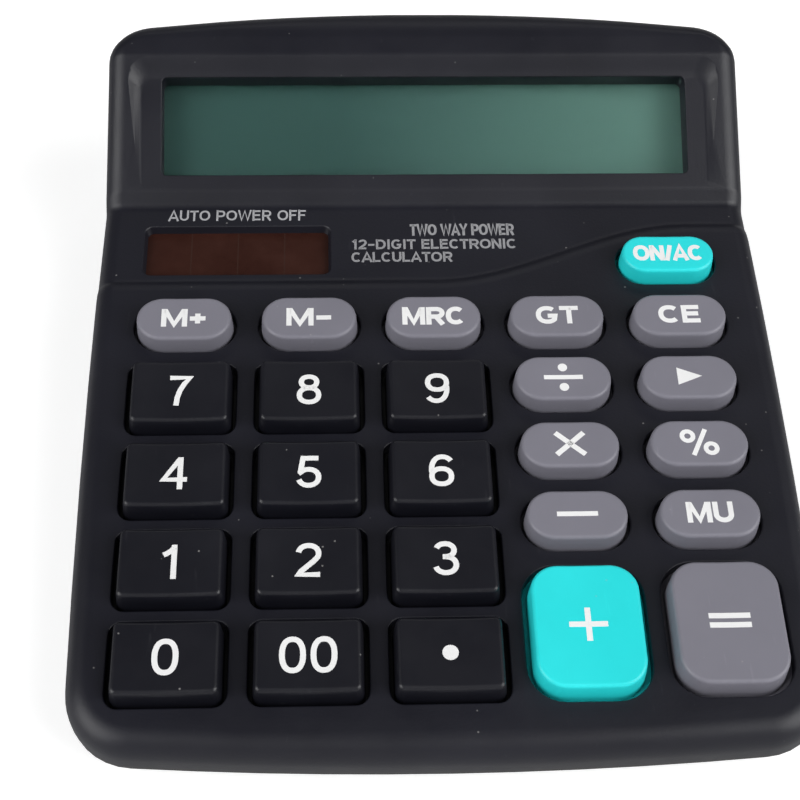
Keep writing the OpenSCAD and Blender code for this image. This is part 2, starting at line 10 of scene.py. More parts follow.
import bmesh
import bpy
from mathutils import Matrix, Vector

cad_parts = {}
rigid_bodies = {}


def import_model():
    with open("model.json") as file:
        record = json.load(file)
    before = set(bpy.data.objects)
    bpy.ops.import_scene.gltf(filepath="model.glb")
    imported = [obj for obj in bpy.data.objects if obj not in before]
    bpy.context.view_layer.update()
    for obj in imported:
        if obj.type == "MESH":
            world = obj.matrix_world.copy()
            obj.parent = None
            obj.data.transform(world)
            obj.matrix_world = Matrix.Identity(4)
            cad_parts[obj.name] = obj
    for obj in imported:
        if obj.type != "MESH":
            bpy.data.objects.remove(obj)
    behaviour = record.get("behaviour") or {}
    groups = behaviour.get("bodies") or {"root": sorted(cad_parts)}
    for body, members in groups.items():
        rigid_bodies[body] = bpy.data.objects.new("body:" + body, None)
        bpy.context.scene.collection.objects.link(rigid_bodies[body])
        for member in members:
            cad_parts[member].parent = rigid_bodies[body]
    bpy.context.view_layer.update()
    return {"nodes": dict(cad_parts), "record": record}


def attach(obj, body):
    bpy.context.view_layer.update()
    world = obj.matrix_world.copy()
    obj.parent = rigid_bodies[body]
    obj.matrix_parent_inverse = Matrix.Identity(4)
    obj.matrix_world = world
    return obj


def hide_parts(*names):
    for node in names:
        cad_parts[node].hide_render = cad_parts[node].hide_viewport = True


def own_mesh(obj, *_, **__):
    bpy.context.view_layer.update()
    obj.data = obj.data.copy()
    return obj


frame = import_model()

# %% [markdown]
# ## Two working frames
# A maker draws the keyboard flat and only then tilts it.  The deck frame lies in the plane of the
# key tops, and the face frame lies in the floor of the display tray.  All drawing is in
# millimetres, and one function turns it into metres on the table.

# %% Frames
MM = 0.001
DECK_TILT = math.radians(5)
FACE_TILT = math.radians(26)
DECK_ORIGIN = Vector((0, -8.962, 20.218))
TRAY_FOOT = Vector((0, 45, -1.8))
LEVEL = Matrix.Identity(4)
ON_DECK = Matrix.Translation(DECK_ORIGIN) @ Matrix.Rotation(DECK_TILT, 4, "X")
FACE_FROM_DECK = Matrix.Translation(TRAY_FOOT) @ Matrix.Rotation(FACE_TILT, 4, "X")
ON_FACE = ON_DECK @ FACE_FROM_DECK


def place(points, where):
    """Points in millimetres of one frame, as points in metres on the table."""
    return [(where @ Vector(p)) * MM for p in points]


def metre_frame(where):
    """A frame's matrix for a mesh that is already in metres."""
    metres = where.copy()
    metres.translation *= MM
    return metres


def lift(piece):
    """Puts a mesh that was drawn level, in the deck frame, in its place on the table."""
    piece.data.transform(metre_frame(ON_DECK))
    return piece


# %% Heights on the deck
PLATE_Z = -2.9
STRIP_Z = -3.8
UNDER_Z = -4.9
PART_Z = -9.0
FLANGE_Z = -5.2
MAT_TOP_Z = -7.3
SHEET_Z = -9.7
BOARD_Z = -10.5
FRONT_Y = -64.0
BACK_Y = 79.5

# %% [markdown]
# ## Mesh helpers
# Every moulded piece here is either a loft, which is a stack of closed rings with the same number
# of points, or a solid cut by other solids.  The helpers make a mesh, cut it, and set the normals
# so that flat faces stay flat and small edge roundings catch the light.

# %% Mesh helpers
scene_objects = bpy.context.scene.collection.objects


def add_piece(name, mesh):
    piece = bpy.data.objects.new(name, mesh)
    scene_objects.link(piece)
    return piece


def new_piece(name, points, faces, where):
    mesh = bpy.data.meshes.new(name)
    mesh.from_pydata(place(points, where), [], faces)
    bm = bmesh.new()
    bm.from_mesh(mesh)
    bmesh.ops.recalc_face_normals(bm, faces=bm.faces)
    bm.to_mesh(mesh)
    bm.free()
    return add_piece(name, mesh)


def bake(piece):
    """Applies the piece's modifiers to its mesh."""
    mesh = bpy.data.meshes.new_from_object(piece.evaluated_get(bpy.context.evaluated_depsgraph_get()))
    piece.modifiers.clear()
    piece.data = mesh
    return piece


def boolean(piece, tool, how="DIFFERENCE"):
    mod = piece.modifiers.new("cut", "BOOLEAN")
    mod.operation = how
    mod.object = tool
    mod.solver = "EXACT"
    bake(piece)
    bpy.data.objects.remove(tool)
    return piece


def join(name, parts):
    """One object from several, each of them a closed solid."""
    bm = bmesh.new()
    for part in parts:
        bm.from_mesh(part.data)
        bpy.data.objects.remove(part)
    mesh = bpy.data.meshes.new(name)
    bm.to_mesh(mesh)
    bm.free()
    return add_piece(name, mesh)


def shade(piece, angle=35):
    """Smooth inside each surface, sharp where two surfaces meet at more than the angle."""
    mesh = piece.data
    mesh.polygons.foreach_set("use_smooth", [True] * len(mesh.polygons))
    mesh.set_sharp_from_angle(angle=math.radians(angle))
    mod = piece.modifiers.new("normals", "WEIGHTED_NORMAL")
    mod.keep_sharp = True
    mod.weight = 80
    bake(piece)
    return piece


def loft_faces(rings, count, first_cap=True, last_cap=True):
    faces = []
    for k in range(rings - 1):
        a, b = k * count, (k + 1) * count
        for i in range(count):
            j = (i + 1) % count
            faces.append((a + i, a + j, b + j, b + i))
    if first_cap:
        faces.append(tuple(range(count - 1, -1, -1)))
    if last_cap:
        faces.append(tuple((rings - 1) * count + i for i in range(count)))
    return faces


def rounded_ring(w, h, r, z, cx=0.0, cy=0.0, steps=7):
    """A rectangle with round corners, as points at height z."""
    r = min(r, w / 2 - 0.001, h / 2 - 0.001)
    ring = []
    for sx, sy, start in ((1, 1, 0), (-1, 1, 90), (-1, -1, 180), (1, -1, 270)):
        for i in range(steps + 1):
            a = math.radians(start + 90 * i / steps)
            ring.append((cx + sx * (w / 2 - r) + r * math.cos(a), cy + sy * (h / 2 - r) + r * math.sin(a), z))
    return ring


def loft(name, rings, where):
    points = [p for ring in rings for p in ring]
    return new_piece(name, points, loft_faces(len(rings), len(rings[0])), where)


def slab(name, w, h, r, z0, z1, where, cx=0.0, cy=0.0, edge=0.0, steps=7):
    """A plate with round corners, and a small round on its top edge if edge is not 0."""
    rings = [rounded_ring(w, h, r, z0, cx, cy, steps)]
    turns = (0, 30, 60, 90) if edge else (0,)
    for t in turns:
        a = math.radians(t)
        d = edge * (1 - math.cos(a))
        rings.append(rounded_ring(w - 2 * d, h - 2 * d, r - d, z1 - edge * (1 - math.sin(a)), cx, cy, steps))
    return loft(name, rings, where)


# %% [markdown]
# ## The plan outline
# The case is not a rectangle.  Its sides bow by less than a millimetre, its front and back edges
# are wide arcs, and round corners join them without a kink.  A corner's circle is tangent to both
# of its neighbours, so its centre lies where two larger circles meet.

# %% Outline
SIDE_R = 2000.0
SIDE_MID_Y = 8.0
HALF_W = 59.4
FRONT_R = 650.0
BACK_R = 430.0
CORNER_R = {"front": 11.0, "back": 9.0}
SIDE_C = Vector((HALF_W - SIDE_R, SIDE_MID_Y))
FRONT_C = Vector((0, FRONT_Y + FRONT_R))
BACK_C = Vector((0, BACK_Y - BACK_R))


def circles_meet(p, rp, q, rq, side):
    gap = (q - p).length
    along = (rp * rp - rq * rq + gap * gap) / (2 * gap)
    away = math.sqrt(rp * rp - along * along)
    e = (q - p) / gap
    return p + e * along + Vector((-e.y, e.x)) * side * away


def angle_of(v):
    return math.atan2(v.y, v.x)


def arc_points(c, r, a0, a1, n, ends=(True, True)):
    """Points on an arc, each with its outward direction."""
    out = []
    for i in range(n + 1):
        if (i == 0 and not ends[0]) or (i == n and not ends[1]):
            continue
        d = Vector((math.cos(a0 + (a1 - a0) * i / n), math.sin(a0 + (a1 - a0) * i / n)))
        out.append((c + d * r, d))
    return out


def side_point(y):
    """The point of the right side at a height y in plan, with its outward direction."""
    dy = y - SIDE_MID_Y
    d = Vector((math.sqrt(SIDE_R * SIDE_R - dy * dy), dy)) / SIDE_R
    return SIDE_C + d * SIDE_R, d


corner_f = circles_meet(SIDE_C, SIDE_R - CORNER_R["front"], FRONT_C, FRONT_R - CORNER_R["front"], -1)
corner_b = circles_meet(SIDE_C, SIDE_R - CORNER_R["back"], BACK_C, BACK_R - CORNER_R["back"], 1)
front_turn = angle_of(corner_f - FRONT_C)
back_turn = angle_of(corner_b - BACK_C)
side_turns = (angle_of(corner_f - SIDE_C), angle_of(corner_b - SIDE_C))
side_range = (SIDE_C.y + SIDE_R * math.sin(side_turns[0]), SIDE_C.y + SIDE_R * math.sin(side_turns[1]))
print("straight part of a side, in plan: %.2f to %.2f" % side_range)


FRONT_STEPS = 6
CORNER_STEPS = 12
BACK_STEPS = 8


def half_outline(side_ys):
    """The right half of the outline from the front's middle to the back's, with side points at the ys."""
    half = arc_points(FRONT_C, FRONT_R, -math.pi / 2, front_turn, FRONT_STEPS, (False, False))
    half += arc_points(corner_f, CORNER_R["front"], front_turn, side_turns[0], CORNER_STEPS)
    half += [side_point(y) for y in side_ys]
    half += arc_points(corner_b, CORNER_R["back"], side_turns[1], back_turn, CORNER_STEPS)
    half += arc_points(BACK_C, BACK_R, back_turn, math.pi / 2, BACK_STEPS, (False, False))
    return half


def mirrored(half):
    return [(Vector((-p.x, p.y)), Vector((-d.x, d.y))) for p, d in half]


# %% [markdown]
# ## The upper shell's skin
# The upper shell is one moulding.  Seen from the side it is a flat deck, a strip 0.9 mm lower, a
# short 45 degree foot, a long slope that carries the display, and a crown that rolls over into
# the back.  The step between deck and strip runs straight on the left and sweeps up to the right.
# The skin is built in rows across the case: each row knows its line in plan and its height, and
# the rim rounding follows the rows round the whole edge.  That way the roundings stay true at
# every height, which a bevel on a cut solid would not do.


# %% Side profile
def bend_profile(points, radii, steps=5):
    """A polyline of (y, z) with its inner corners rounded."""
    out = [points[0]]
    for (a, b, c), r in zip(zip(points, points[1:], points[2:]), radii):
        a, b, c = Vector(a), Vector(b), Vector(c)
        u, v = (a - b).normalized(), (c - b).normalized()
        half = math.acos(max(-1, min(1, u.dot(v)))) / 2
        if r <= 0 or abs(half - math.pi / 2) < 1e-4:
            out.append(tuple(b))
            continue
        t = r / math.tan(half)
        centre = b + (u + v).normalized() * (r / math.sin(half))
        p, q = b + u * t, b + v * t
        a0, a1 = angle_of(p - centre), angle_of(q - centre)
        turn = (a1 - a0 + math.pi) % (2 * math.pi) - math.pi
        for i in range(steps + 1):
            w = a0 + turn * i / steps
            out.append((centre.x + r * math.cos(w), centre.y + r * math.sin(w)))
    return out + [points[-1]]


FOOT_Y = 43.1
head_profile = bend_profile(
    [(40, STRIP_Z), (FOOT_Y, STRIP_Z), (45.1, -1.8), (67.35, 11.0), (71.75, 12.4), (74.5, 12.6), (90, 12.6)],
    [2.0, 2.5, 3.0, 9.0, 12.0],
)


def height_at(profile, y):
    if y <= profile[0][0]:
        return profile[0][1]
    for (y0, z0), (y1, z1) in zip(profile, profile[1:]):
        if y <= y1:
            return z0 + (z1 - z0) * (y - y0) / (y1 - y0)
    return profile[-1][1]


# %% The curved step
STEP_LOW_Y = 25.5
STEP_HIGH_Y = 38.0
STEP_X0 = 1.0
STEP_X1 = 47.0
STEP_ROWS = [
    (-2.6, 0.0), (-2.1, 0.03), (-1.6, 0.1), (-1.15, 0.21), (-0.75, 0.35), (-0.4, 0.52), (-0.1, 0.68),
    (0.2, 0.8), (0.55, 0.87), (1.0, 0.9),
]


def step_y(x):
    t = max(0.0, min(1.0, (x - STEP_X0) / (STEP_X1 - STEP_X0)))
    return STEP_LOW_Y + (STEP_HIGH_Y - STEP_LOW_Y) * (3 * t * t - 2 * t * t * t)


def step_slope(x):
    return (step_y(x + 0.05) - step_y(x - 0.05)) / 0.1


def step_line(offset, x):
    """The y of a line that runs beside the step at an even distance."""
    return step_y(x) + offset * math.sqrt(1 + step_slope(x) ** 2)


# %% Skin
RIM_ANGLES = [0, 15, 30, 45, 60, 75, 90]
SEAM_IN = 0.3
SEAM_RISE = 0.35
FRONT_PLAN_YS = [-50, -35, -15, 5, 19]
STRIP_PLAN_Y = 40.3
SIDE_X = 59
step_xs = [-40, -20, -5] + [STEP_X0 + 2.3 * i for i in range(21)] + [52]


def rim_radius(y):
    """The rounding of the rim: 4 mm at the front, 3.5 at the sides, 6 at the back."""
    if y < -50:
        return 3.5 + 0.5 * min(1, (-50 - y) / 8)
    if y > 69:
        return 3.5 + 2.5 * min(1, (y - 69) / 8)
    return 3.5


def upper_skin():
    """The outside of the shell as points and faces, row by row from the front to the back."""
    head_ys = [STRIP_PLAN_Y] + [p[0] for p in head_profile if 40 < p[0] < side_range[1] - 0.3]
    right_ys, left_ys = ([*FRONT_PLAN_YS, *(step_line(row[0], x) for row in STEP_ROWS), *head_ys]
                         for x in (SIDE_X, -SIDE_X))
    right = half_outline(right_ys)
    left = mirrored(half_outline(left_ys))
    first_side = FRONT_STEPS + CORNER_STEPS
    step_row = first_side + len(FRONT_PLAN_YS)
    points = []
    for p, d in right + left[::-1]:
        inner_y = p.y - d.y * rim_radius(p.y)
        points.append((p, d, inner_y))

    def top_height(index, inner_y):
        k = index if index < len(right) else 2 * len(right) - 1 - index
        if k < step_row:
            return PLATE_Z
        if k < step_row + len(STEP_ROWS):
            return PLATE_Z - STEP_ROWS[k - step_row][1]
        return height_at(head_profile, inner_y)

    verts = []
    n = len(points)
    for p, d, inner_y in points:
        verts.append((p.x - SEAM_IN * d.x, p.y - SEAM_IN * d.y, PART_Z))
    for p, d, inner_y in points:
        verts.append((p.x, p.y, PART_Z + SEAM_RISE))
    for a in RIM_ANGLES:
        for index, (p, d, inner_y) in enumerate(points):
            r = rim_radius(p.y)
            a_r = math.radians(a)
            q = p - d * r * (1 - math.cos(a_r))
            verts.append((q.x, q.y, top_height(index, inner_y) - r * (1 - math.sin(a_r))))
    faces = loft_faces(2 + len(RIM_ANGLES), n, True, False)
    base = (1 + len(RIM_ANGLES)) * n
    half = len(right)

    def right_top(i):
        return base + i

    def left_top(i):
        return base + n - 1 - i

    cross = {}
    for k in range(len(STEP_ROWS)):
        row = []
        for x in step_xs:
            row.append(len(verts))
            verts.append((x, step_line(STEP_ROWS[k][0], x), PLATE_Z - STEP_ROWS[k][1]))
        cross[step_row + k] = row

    def row_points(i):
        return [left_top(i)] + cross.get(i, []) + [right_top(i)]

    for i in range(half - 1):
        a, b = row_points(i), row_points(i + 1)
        if len(a) == len(b) and len(a) > 2:
            for j in range(len(a) - 1):
                faces.append((a[j], a[j + 1], b[j + 1], b[j]))
        else:
            faces.append(tuple(a + b[::-1]))
    return verts, faces


skin_points, skin_faces = upper_skin()
upper = new_piece("upper_shell", skin_points, skin_faces, LEVEL)
print("skin faces:", len(upper.data.polygons))

# %% [markdown]
# ## Hollow, pockets, tray and window
# The moulding has 2 mm walls, so a smaller solid is taken out of the skin.  Then come the openings.
# A moulded opening never has a knife edge: each cutter flares a little where it meets the surface,
# which leaves a small round there.

# %% Hollow
WALL = 2.0
CAVITY_PROFILE = [
    (-100, UNDER_Z), (43.6, UNDER_Z), (45.9, -3.6), (66.4, 6.4), (68.4, 8.9), (70.5, 9.8), (71.9, 10.3),
    (73.3, 10.6), (100, 10.6),
]
CAVITY_PLAN_YS = [-50, 0, 43.6, 45.9, 66.4, 67.5]


def cavity():
    half = half_outline(CAVITY_PLAN_YS)
    inside = [p - d * WALL for p, d in half + mirrored(half)[::-1]]
    n = len(inside)
    verts = [(*p, PART_Z - 1) for p in inside]
    verts += [(*p, height_at(CAVITY_PROFILE, p.y)) for p in inside]
    faces = loft_faces(2, n, True, False)
    for i in range(len(half) - 1):
        faces.append((n + i, n + i + 1, 2 * n - 2 - i, 2 * n - 1 - i))
    return new_piece("cavity", verts, faces, LEVEL)


boolean(upper, cavity())

# %% Collars inside the openings
WINDOW = {"w": 97.2, "h": 18.6, "y": 12.4, "depth": 4.5}
COLLAR = 3
SOLAR = {"w": 33.6, "h": 11.2, "x": -34.5, "y": 32.8, "seat": -5.3}
window_collar = slab("window_collar", WINDOW["w"] + COLLAR, WINDOW["h"] + COLLAR, 1, -WINDOW["depth"], 0.1,
                     FACE_FROM_DECK, 0, WINDOW["y"])
solar_collar = slab("solar_collar", SOLAR["w"] + COLLAR, SOLAR["h"] + COLLAR, 1, SOLAR["seat"], -4.2, LEVEL,
                    SOLAR["x"], SOLAR["y"])
boolean(upper, window_collar, "UNION")
boolean(upper, solar_collar, "UNION")


# %% Cutters
def opening(name, w, h, r, bottom, top, where, cx, cy, flare, rise):
    """A cutter that is straight from bottom to the surface at top, and flares there by a small round."""
    rings = [rounded_ring(w, h, r, bottom, cx, cy)]
    for t in (0, 30, 60, 90):
        a = math.radians(t)
        out = flare * (1 - math.cos(a))
        rings.append(rounded_ring(w + 2 * out, h + 2 * out, r + out, top - flare * (1 - math.sin(a)), cx, cy))
    rings.append(rounded_ring(w + 2 * flare, h + 2 * flare, r + flare, top + rise, cx, cy))
    return loft(name, rings, where)


TRAY = {"half_w": 52.7, "front": -1.0, "back": 22.1, "corner": 2.6, "depth": 1.95}
TRAY_STEPS = 10
TRAY_IN = -0.9
TRAY_REACH = 5.3


def tray_cutter():
    """A shallow tray whose slopes roll softly into its floor and into the rim."""
    rings = []
    for i in range(TRAY_STEPS + 1):
        t = i / TRAY_STEPS
        out = TRAY_IN + TRAY_REACH * t
        grow = max(0.0, out)
        z = TRAY["depth"] * t * t * (3 - 2 * t)
        y0, y1 = TRAY["front"] - grow * 0.1, TRAY["back"] + out
        w = 2 * (TRAY["half_w"] + 0.8 * out)
        rings.append(rounded_ring(w, y1 - y0, TRAY["corner"] + grow * 0.5, z, 0, (y0 + y1) / 2, 10))
    rings.append([(x * 1.004, y if y < 20 else y + 0.5, z + 3.0) for x, y, z in rings[-1]])
    return loft("tray", rings, FACE_FROM_DECK)


# %% Keys' table
COLUMN = 21.5
ROW = 16.125
X_AT = [-2 * COLUMN, -COLUMN, 0.0, COLUMN - 0.1, 2 * COLUMN - 0.2]
PILL_Y = [15.0, 1.87, -11.39, -24.66]
# Width, height and corner radius of a top, spread of its foot, depth of its dish, gap round its foot
KINDS = {
    "digit": (16.2, 12.0, 1.0, 0.5, 0.34, 0.6),
    "pill": (16.2, 8.8, 4.4, 0.32, 0.16, 0.5),
    "start": (16.3, 8.0, 4.0, 0.32, 0.16, 0.5),
    "tall": (16.9, 20.6, 4.5, 0.35, 0.34, 0.85),
}
KEYS = {}
for row, names in enumerate((("7", "8", "9"), ("4", "5", "6"), ("1", "2", "3"), ("0", "00", "point"))):
    for column, name in enumerate(names):
        KEYS[name] = (X_AT[column], -row * ROW, "digit", "key_black")
for column, name in enumerate(("m_plus", "m_minus", "mrc", "gt", "ce")):
    KEYS[name] = (X_AT[column], PILL_Y[0], "pill", "key_grey")
for row, names in enumerate((("divide", "arrow"), ("multiply", "percent"), ("minus", "mu"))):
    for column, name in enumerate(names):
        KEYS[name] = (X_AT[3 + column], PILL_Y[row + 1], "pill", "key_grey")
KEYS["on_ac"] = (X_AT[4] - 0.4, 28.6, "start", "key_teal")
KEYS["plus"] = (X_AT[3], -44.0, "tall", "key_teal")
KEYS["equals"] = (X_AT[4] + 0.5, -43.7, "tall", "key_grey")
print("keys:", len(KEYS))

# %% Cut the openings
pockets = []
for name, (x, y, kind, finish) in KEYS.items():
    w, h, r, spread, dish, gap = KINDS[kind]
    grow = 2 * (spread + gap)
    pockets.append(opening("pocket", w + grow, h + grow, r + grow / 2, -6.5, PLATE_Z, LEVEL, x, y, 0.28, 0.5))
boolean(upper, join("pockets", pockets))
boolean(upper, tray_cutter())
window_cut = opening("window", WINDOW["w"], WINDOW["h"], 1.0, -6, 0, FACE_FROM_DECK, 0, WINDOW["y"], 0.16, 3)
boolean(upper, window_cut)
# Growth of the solar opening, corner radius and height, from below the seat up to the strip
solar_levels = ((-0.9, 1.1, -7), (-0.9, 1.1, SOLAR["seat"]), (-0.1, 1.5, STRIP_Z - 0.12), (0.2, 1.6, STRIP_Z),
                (0.2, 1.6, STRIP_Z + 0.5))
solar_rings = [rounded_ring(SOLAR["w"] + grow, SOLAR["h"] + grow, r, z, SOLAR["x"], SOLAR["y"])
               for grow, r, z in solar_levels]
boolean(upper, loft("solar_cut", solar_rings, LEVEL))
shade(lift(upper), 32)
print("upper shell faces:", len(upper.data.polygons))

# %% [markdown]
# ## Keys
# A key is a hollow moulded cap.  Its walls widen downwards so that it leaves the mould and never
# jams in its pocket, its top is hollowed across for a fingertip, and a flange under the deck stops
# it from falling out.  Each cap is one loft, from the flange up over the rounded top edge and then
# inwards over the dish.


# %% Caps
EDGE_TURNS = (0, 20, 40, 60, 78, 90)
DISH_SCALES = (0.9, 0.78, 0.64, 0.5, 0.36, 0.22, 0.08)
DISH_STEP = 1.1
STEM_W = 3.4


def dish_z(kind, x):
    w, dish = KINDS[kind][0], KINDS[kind][4]
    return -dish * (1 - min(1.0, (2 * x / w) ** 2))


def dense(ring, parts):
    """The ring with points added on its long straight edges, so that a dish can bend them."""
    out = []
    for a, b, count in zip(ring, ring[1:] + ring[:1], parts):
        out += [tuple(p + (q - p) * i / count for p, q in zip(a, b)) for i in range(count)]
    return out


def cap(name, x, y, kind):
    w, h, r, spread, _, gap = KINDS[kind]
    edge = 0.75 if kind == "digit" else 0.6
    skirt = 2 * (spread + gap) + 1.4
    steps = 6 if kind == "digit" else 12
    rings = []

    def ring(grow, z):
        rings.append(rounded_ring(w + grow, h + grow, r + grow / 2, z, 0, 0, steps))

    ring(skirt - 0.3, FLANGE_Z - 1.0)
    ring(skirt, FLANGE_Z - 0.85)
    ring(skirt, FLANGE_Z - 0.15)
    ring(skirt - 0.3, FLANGE_Z)
    ring(2 * spread, FLANGE_Z)
    for z in (-3.6, -2.2, -1.2):
        ring(2 * spread * z / FLANGE_Z, z)
    edge_start = len(rings)
    for t in EDGE_TURNS:
        a = math.radians(t)
        ring(2 * spread * 0.06 - 2 * edge * (1 - math.cos(a)), -edge * (1 - math.sin(a)))
    last_edge = rings[-1]
    rings += [[(p[0] * s, p[1] * s, 0.0) for p in last_edge] for s in DISH_SCALES]
    sides = zip(rings[0], rings[0][1:] + rings[0][:1])
    parts = [max(1, math.ceil(math.dist(a, b) / DISH_STEP)) for a, b in sides]
    out = []
    for k, points in enumerate(rings):
        dished = 1.0 if k >= edge_start else 0.0
        out.append([(x + p[0], y + p[1], p[2] + dished * dish_z(kind, p[0])) for p in dense(points, parts)])
    body = loft("cap", out, ON_DECK)
    stem = slab("stem", STEM_W, STEM_W, STEM_W / 2, MAT_TOP_Z, FLANGE_Z - 1.0, ON_DECK, x, y)
    return join("key_" + name + "_cap", [body, stem])


caps = {name: shade(cap(name, x, y, kind), 50) for name, (x, y, kind, finish) in KEYS.items()}
print("caps:", len(caps), "faces each:", len(caps["9"].data.polygons))

# %% [markdown]
# ## Legends
# The legends are printed, so each is a film of ink a few hundredths of a millimetre thick that
# follows the dish.  Digits and letters are drawn with a pen of even width along lines and arcs, as a
# sign writer would.


# %% Pen strokes
def curve_line(cx, cy, rx, ry, a0, a1, n=16, power=1.0):
    line = []
    for i in range(n + 1):
        a = math.radians(a0 + (a1 - a0) * i / n)
        c, s = math.cos(a), math.sin(a)
        across, up = math.copysign(abs(c) ** power, c), math.copysign(abs(s) ** power, s)
        line.append((cx + rx * across, cy + ry * up))
    return line


def nine_line():
    return [curve_line(0, 0.69, 0.265, 0.24, 0, 360, 28, 0.9),
            curve_line(-0.035, 0.5, 0.3, 0.4275, -138, 8, 18, 0.92)]


DIGITS = {
    "0": [curve_line(0, 0.5, 0.265, 0.4275, 0, 360, 32, 0.86)],
    "1": [[(0.09, 0), (0.09, 1)], [(0.1, 0.93), (0.02, 0.83), (-0.08, 0.755), (-0.19, 0.7)]],
    "2": [curve_line(0.0, 0.69, 0.262, 0.2375, 172, -28, 16, 0.95)
          + [(0.13, 0.46), (-0.05, 0.3), (-0.2, 0.16), (-0.265, 0.0725), (0.3, 0.0725)]],
    "3": [curve_line(-0.01, 0.735, 0.235, 0.1925, 162, -90, 16, 0.95) + [(-0.08, 0.5425)],
          curve_line(-0.005, 0.3075, 0.27, 0.235, 90, -166, 18, 0.95)],
    "4": [[(0.13, 0), (0.13, 1)], [(0.1, 0.93), (-0.315, 0.302), (0.32, 0.302)]],
    "5": [[(0.26, 0.9275), (-0.155, 0.9275), (-0.225, 0.49)]
          + curve_line(-0.005, 0.325, 0.27, 0.2525, 142, -164, 18, 0.95)],
    "7": [[(-0.29, 0.9275), (0.265, 0.9275), (0.12, 0.74), (0.0, 0.5), (-0.065, 0.26), (-0.09, 0)]],
    "8": [curve_line(0, 0.745, 0.215, 0.1825, 0, 360, 26, 0.92),
          curve_line(0, 0.3075, 0.268, 0.235, 0, 360, 28, 0.92)],
    "9": nine_line(),
    "6": [[(-px, 1 - py) for px, py in line] for line in nine_line()],
    "+": [[(-0.5, 0.5), (0.5, 0.5)], [(0, 0), (0, 1)]],
}


def ribbon(line, pen):
    """Corners of a band along a line: left and right points at each point of the line."""
    closed = (Vector(line[0]) - Vector(line[-1])).length < 1e-6
    n = len(line)
    left, right = [], []
    for i, p in enumerate(line):
        before = line[i - 1] if i else (line[-2] if closed else line[0])
        after = line[i + 1] if i < n - 1 else (line[1] if closed else line[-1])
        u = Vector(p) - Vector(before)
        v = Vector(after) - Vector(p)
        u = u.normalized() if u.length > 1e-9 else v.normalized()
        v = v.normalized() if v.length > 1e-9 else u
        side = Vector((-u.y - v.y, u.x + v.x)).normalized()
        reach = min(1.6, 1 / max(0.3, side.dot(Vector((-v.y, v.x)))))
        left.append(Vector(p) + side * pen / 2 * reach)
        right.append(Vector(p) - side * pen / 2 * reach)
    return left, right


def drawn(lines, height, pen, cx=0.0, width=None):
    """Flat faces of pen strokes, as (points, faces), about (cx, 0)."""
    points, faces = [], []
    sx = width if width else height
    for line in lines:
        scaled = [(cx + px * sx, (py - 0.5) * height) for px, py in line]
        left, right = ribbon(scaled, pen)
        base = len(points)
        for a, b in zip(left, right):
            points += [a, b]
        for i in range(len(left) - 1):
            k = base + 2 * i
            faces.append((k, k + 1, k + 3, k + 2))
    return points, faces


